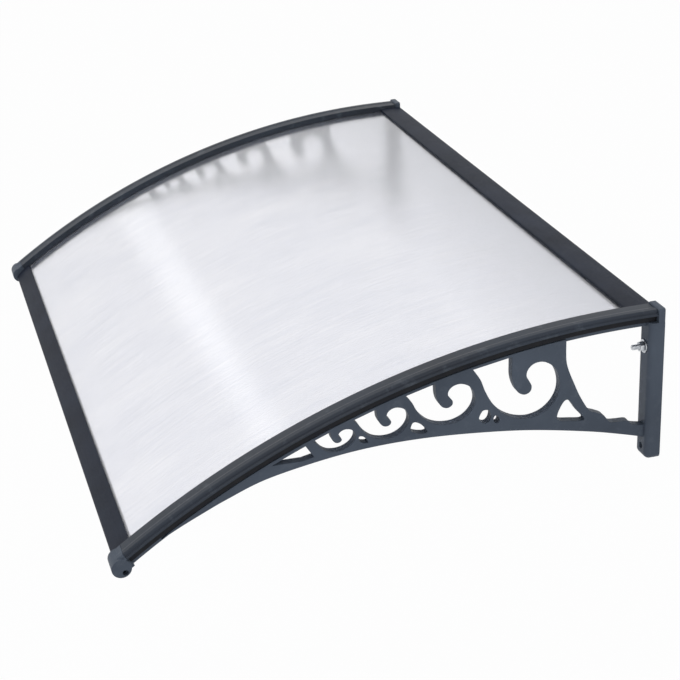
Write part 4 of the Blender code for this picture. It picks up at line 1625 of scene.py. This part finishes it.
@dataclass(frozen=True)
class Studio:
    """Plain pale floor, white surroundings, soft lamps and the photograph's camera."""

    floor_z: float = -1.10
    floor_half: float = 45.0
    floor_colour: Colour = srgb(244, 245, 246)
    floor_cloud: Colour = srgb(240, 241, 243)
    floor_glow: float = 0.965
    fill: float = 0.62
    fill_colour: Colour = (0.97, 0.985, 1.0)
    frame_px: int = 680
    focal_px: float = 1654.276
    camera_place: tuple[float, float, float] = (2.52544, -1.01747, 0.91508)
    azimuth_deg: float = 74.2651
    elevation_deg: float = 23.5713
    roll_deg: float = -2.3709
    sensor_mm: float = 36.0
    lamps: tuple[Lamp, ...] = (
        Lamp("overhead_softbox", (-0.3, -1.9, 3.2), (0.0, -0.45, 0.0), (2.6, 2.0), 1.25),
        Lamp("side_softbox", (3.4, -0.35, 1.3), (0.4, -0.4, -0.1), (1.6, 1.4), 1.3),
        Lamp("strip_lamp_near", (-3.0, -1.363, 1.689), (0.0, -0.55, -0.1), (0.21, 1.25), 0.84,
             (0.0, -0.394, 0.919)),
        Lamp("strip_lamp_far", (-3.0, -0.915, 0.643), (0.0, -0.55, -0.1), (0.21, 1.00), 0.42,
             (0.0, -0.394, 0.919)),
    )

    def floor(self) -> None:
        """Build the pale floor, which shows white and keeps the canopy's shadow."""
        bm = bmesh.new()
        bmesh.ops.create_grid(bm, x_segments=4, y_segments=4, size=self.floor_half)
        floor = add_object("studio_floor", bm)
        floor.location.z = self.floor_z
        bench = NodeBench("pale_floor")
        cloud = bench.noise(bench.place(), 0.8, 3.0, 0.5)
        bench.colour(bench.mix(bench.ramp(cloud, 0.3, 0.7), self.floor_colour, self.floor_cloud))
        bench.set(Roughness=0.9, Specular_IOR_Level=0.1)
        share = bench.add("ShaderNodeMix", data_type="FLOAT", A=0.0, B=self.floor_glow)
        bench.link(bench.seen_directly(), share.inputs["Factor"])
        shader = bench.blend(share.outputs["Result"], bench.shader,
                             bench.add("ShaderNodeEmission"))
        bench.link(shader, bench.tree.nodes["Material Output"].inputs["Surface"])
        floor.data.materials.append(bench.material)

    def surroundings(self) -> None:
        """Make the surroundings white to the eye and in gloss, with an even fill light."""
        world = bpy.data.worlds.new("white_studio")
        bpy.context.scene.world = world
        world.use_nodes = True
        world.node_tree.nodes.clear()
        bench = NodeTree(world.node_tree)
        fill = bench.add("ShaderNodeBackground", Color=(*self.fill_colour, 1.0),
                         Strength=self.fill)
        white = bench.add("ShaderNodeBackground", Color=(1.0, 1.0, 1.0, 1.0), Strength=1.0)
        bench.link(bench.blend(bench.seen_directly(), fill, white),
                   bench.add("ShaderNodeOutputWorld").inputs["Surface"])

    def camera(self) -> None:
        """Build the camera at the photograph's place and framing."""
        az, el, roll = (math.radians(v) for v in (self.azimuth_deg, self.elevation_deg,
                                                  self.roll_deg))
        back = Vector((math.sin(az) * math.cos(el), -math.cos(az) * math.cos(el), math.sin(el)))
        right = Vector((math.cos(az), math.sin(az), 0.0))
        up = back.cross(right)
        rolled_right = math.cos(roll) * right + math.sin(roll) * up
        rolled_up = -math.sin(roll) * right + math.cos(roll) * up
        data = bpy.data.cameras.new("photo_camera")
        data.sensor_width = self.sensor_mm
        data.lens = self.focal_px / self.frame_px * self.sensor_mm
        camera = bpy.data.objects.new("photo_camera", data)
        turn = Matrix((rolled_right, rolled_up, back)).transposed()
        camera.matrix_world = Matrix.Translation(self.camera_place) @ turn.to_4x4()
        bpy.context.scene.collection.objects.link(camera)
        bpy.context.scene.camera = camera

    def build(self) -> None:
        """Build the whole studio."""
        self.floor()
        self.surroundings()
        for lamp in self.lamps:
            lamp.build()
        self.camera()
        bpy.context.scene.view_settings.view_transform = "Standard"
        LOG.info("studio: floor, surroundings, %d lamps and camera", len(self.lamps))


def main() -> None:
    """Build the canopy's pieces in order and the studio round them."""
    logging.basicConfig(level=logging.INFO, format="%(name)s: %(message)s")
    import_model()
    kit = (Layout(), Finishes.mixed())
    RoofSheet(*kit).build()
    for side in Side:
        for kind in (Bracket, CoverStrip, EdgeSeal, SheetScrews, WallFixing):
            kind(*kit, side).build()
    WallBar(*kit).build()
    FrontBar(*kit).build()
    Studio().build()


if __name__ == "__main__":
    main()
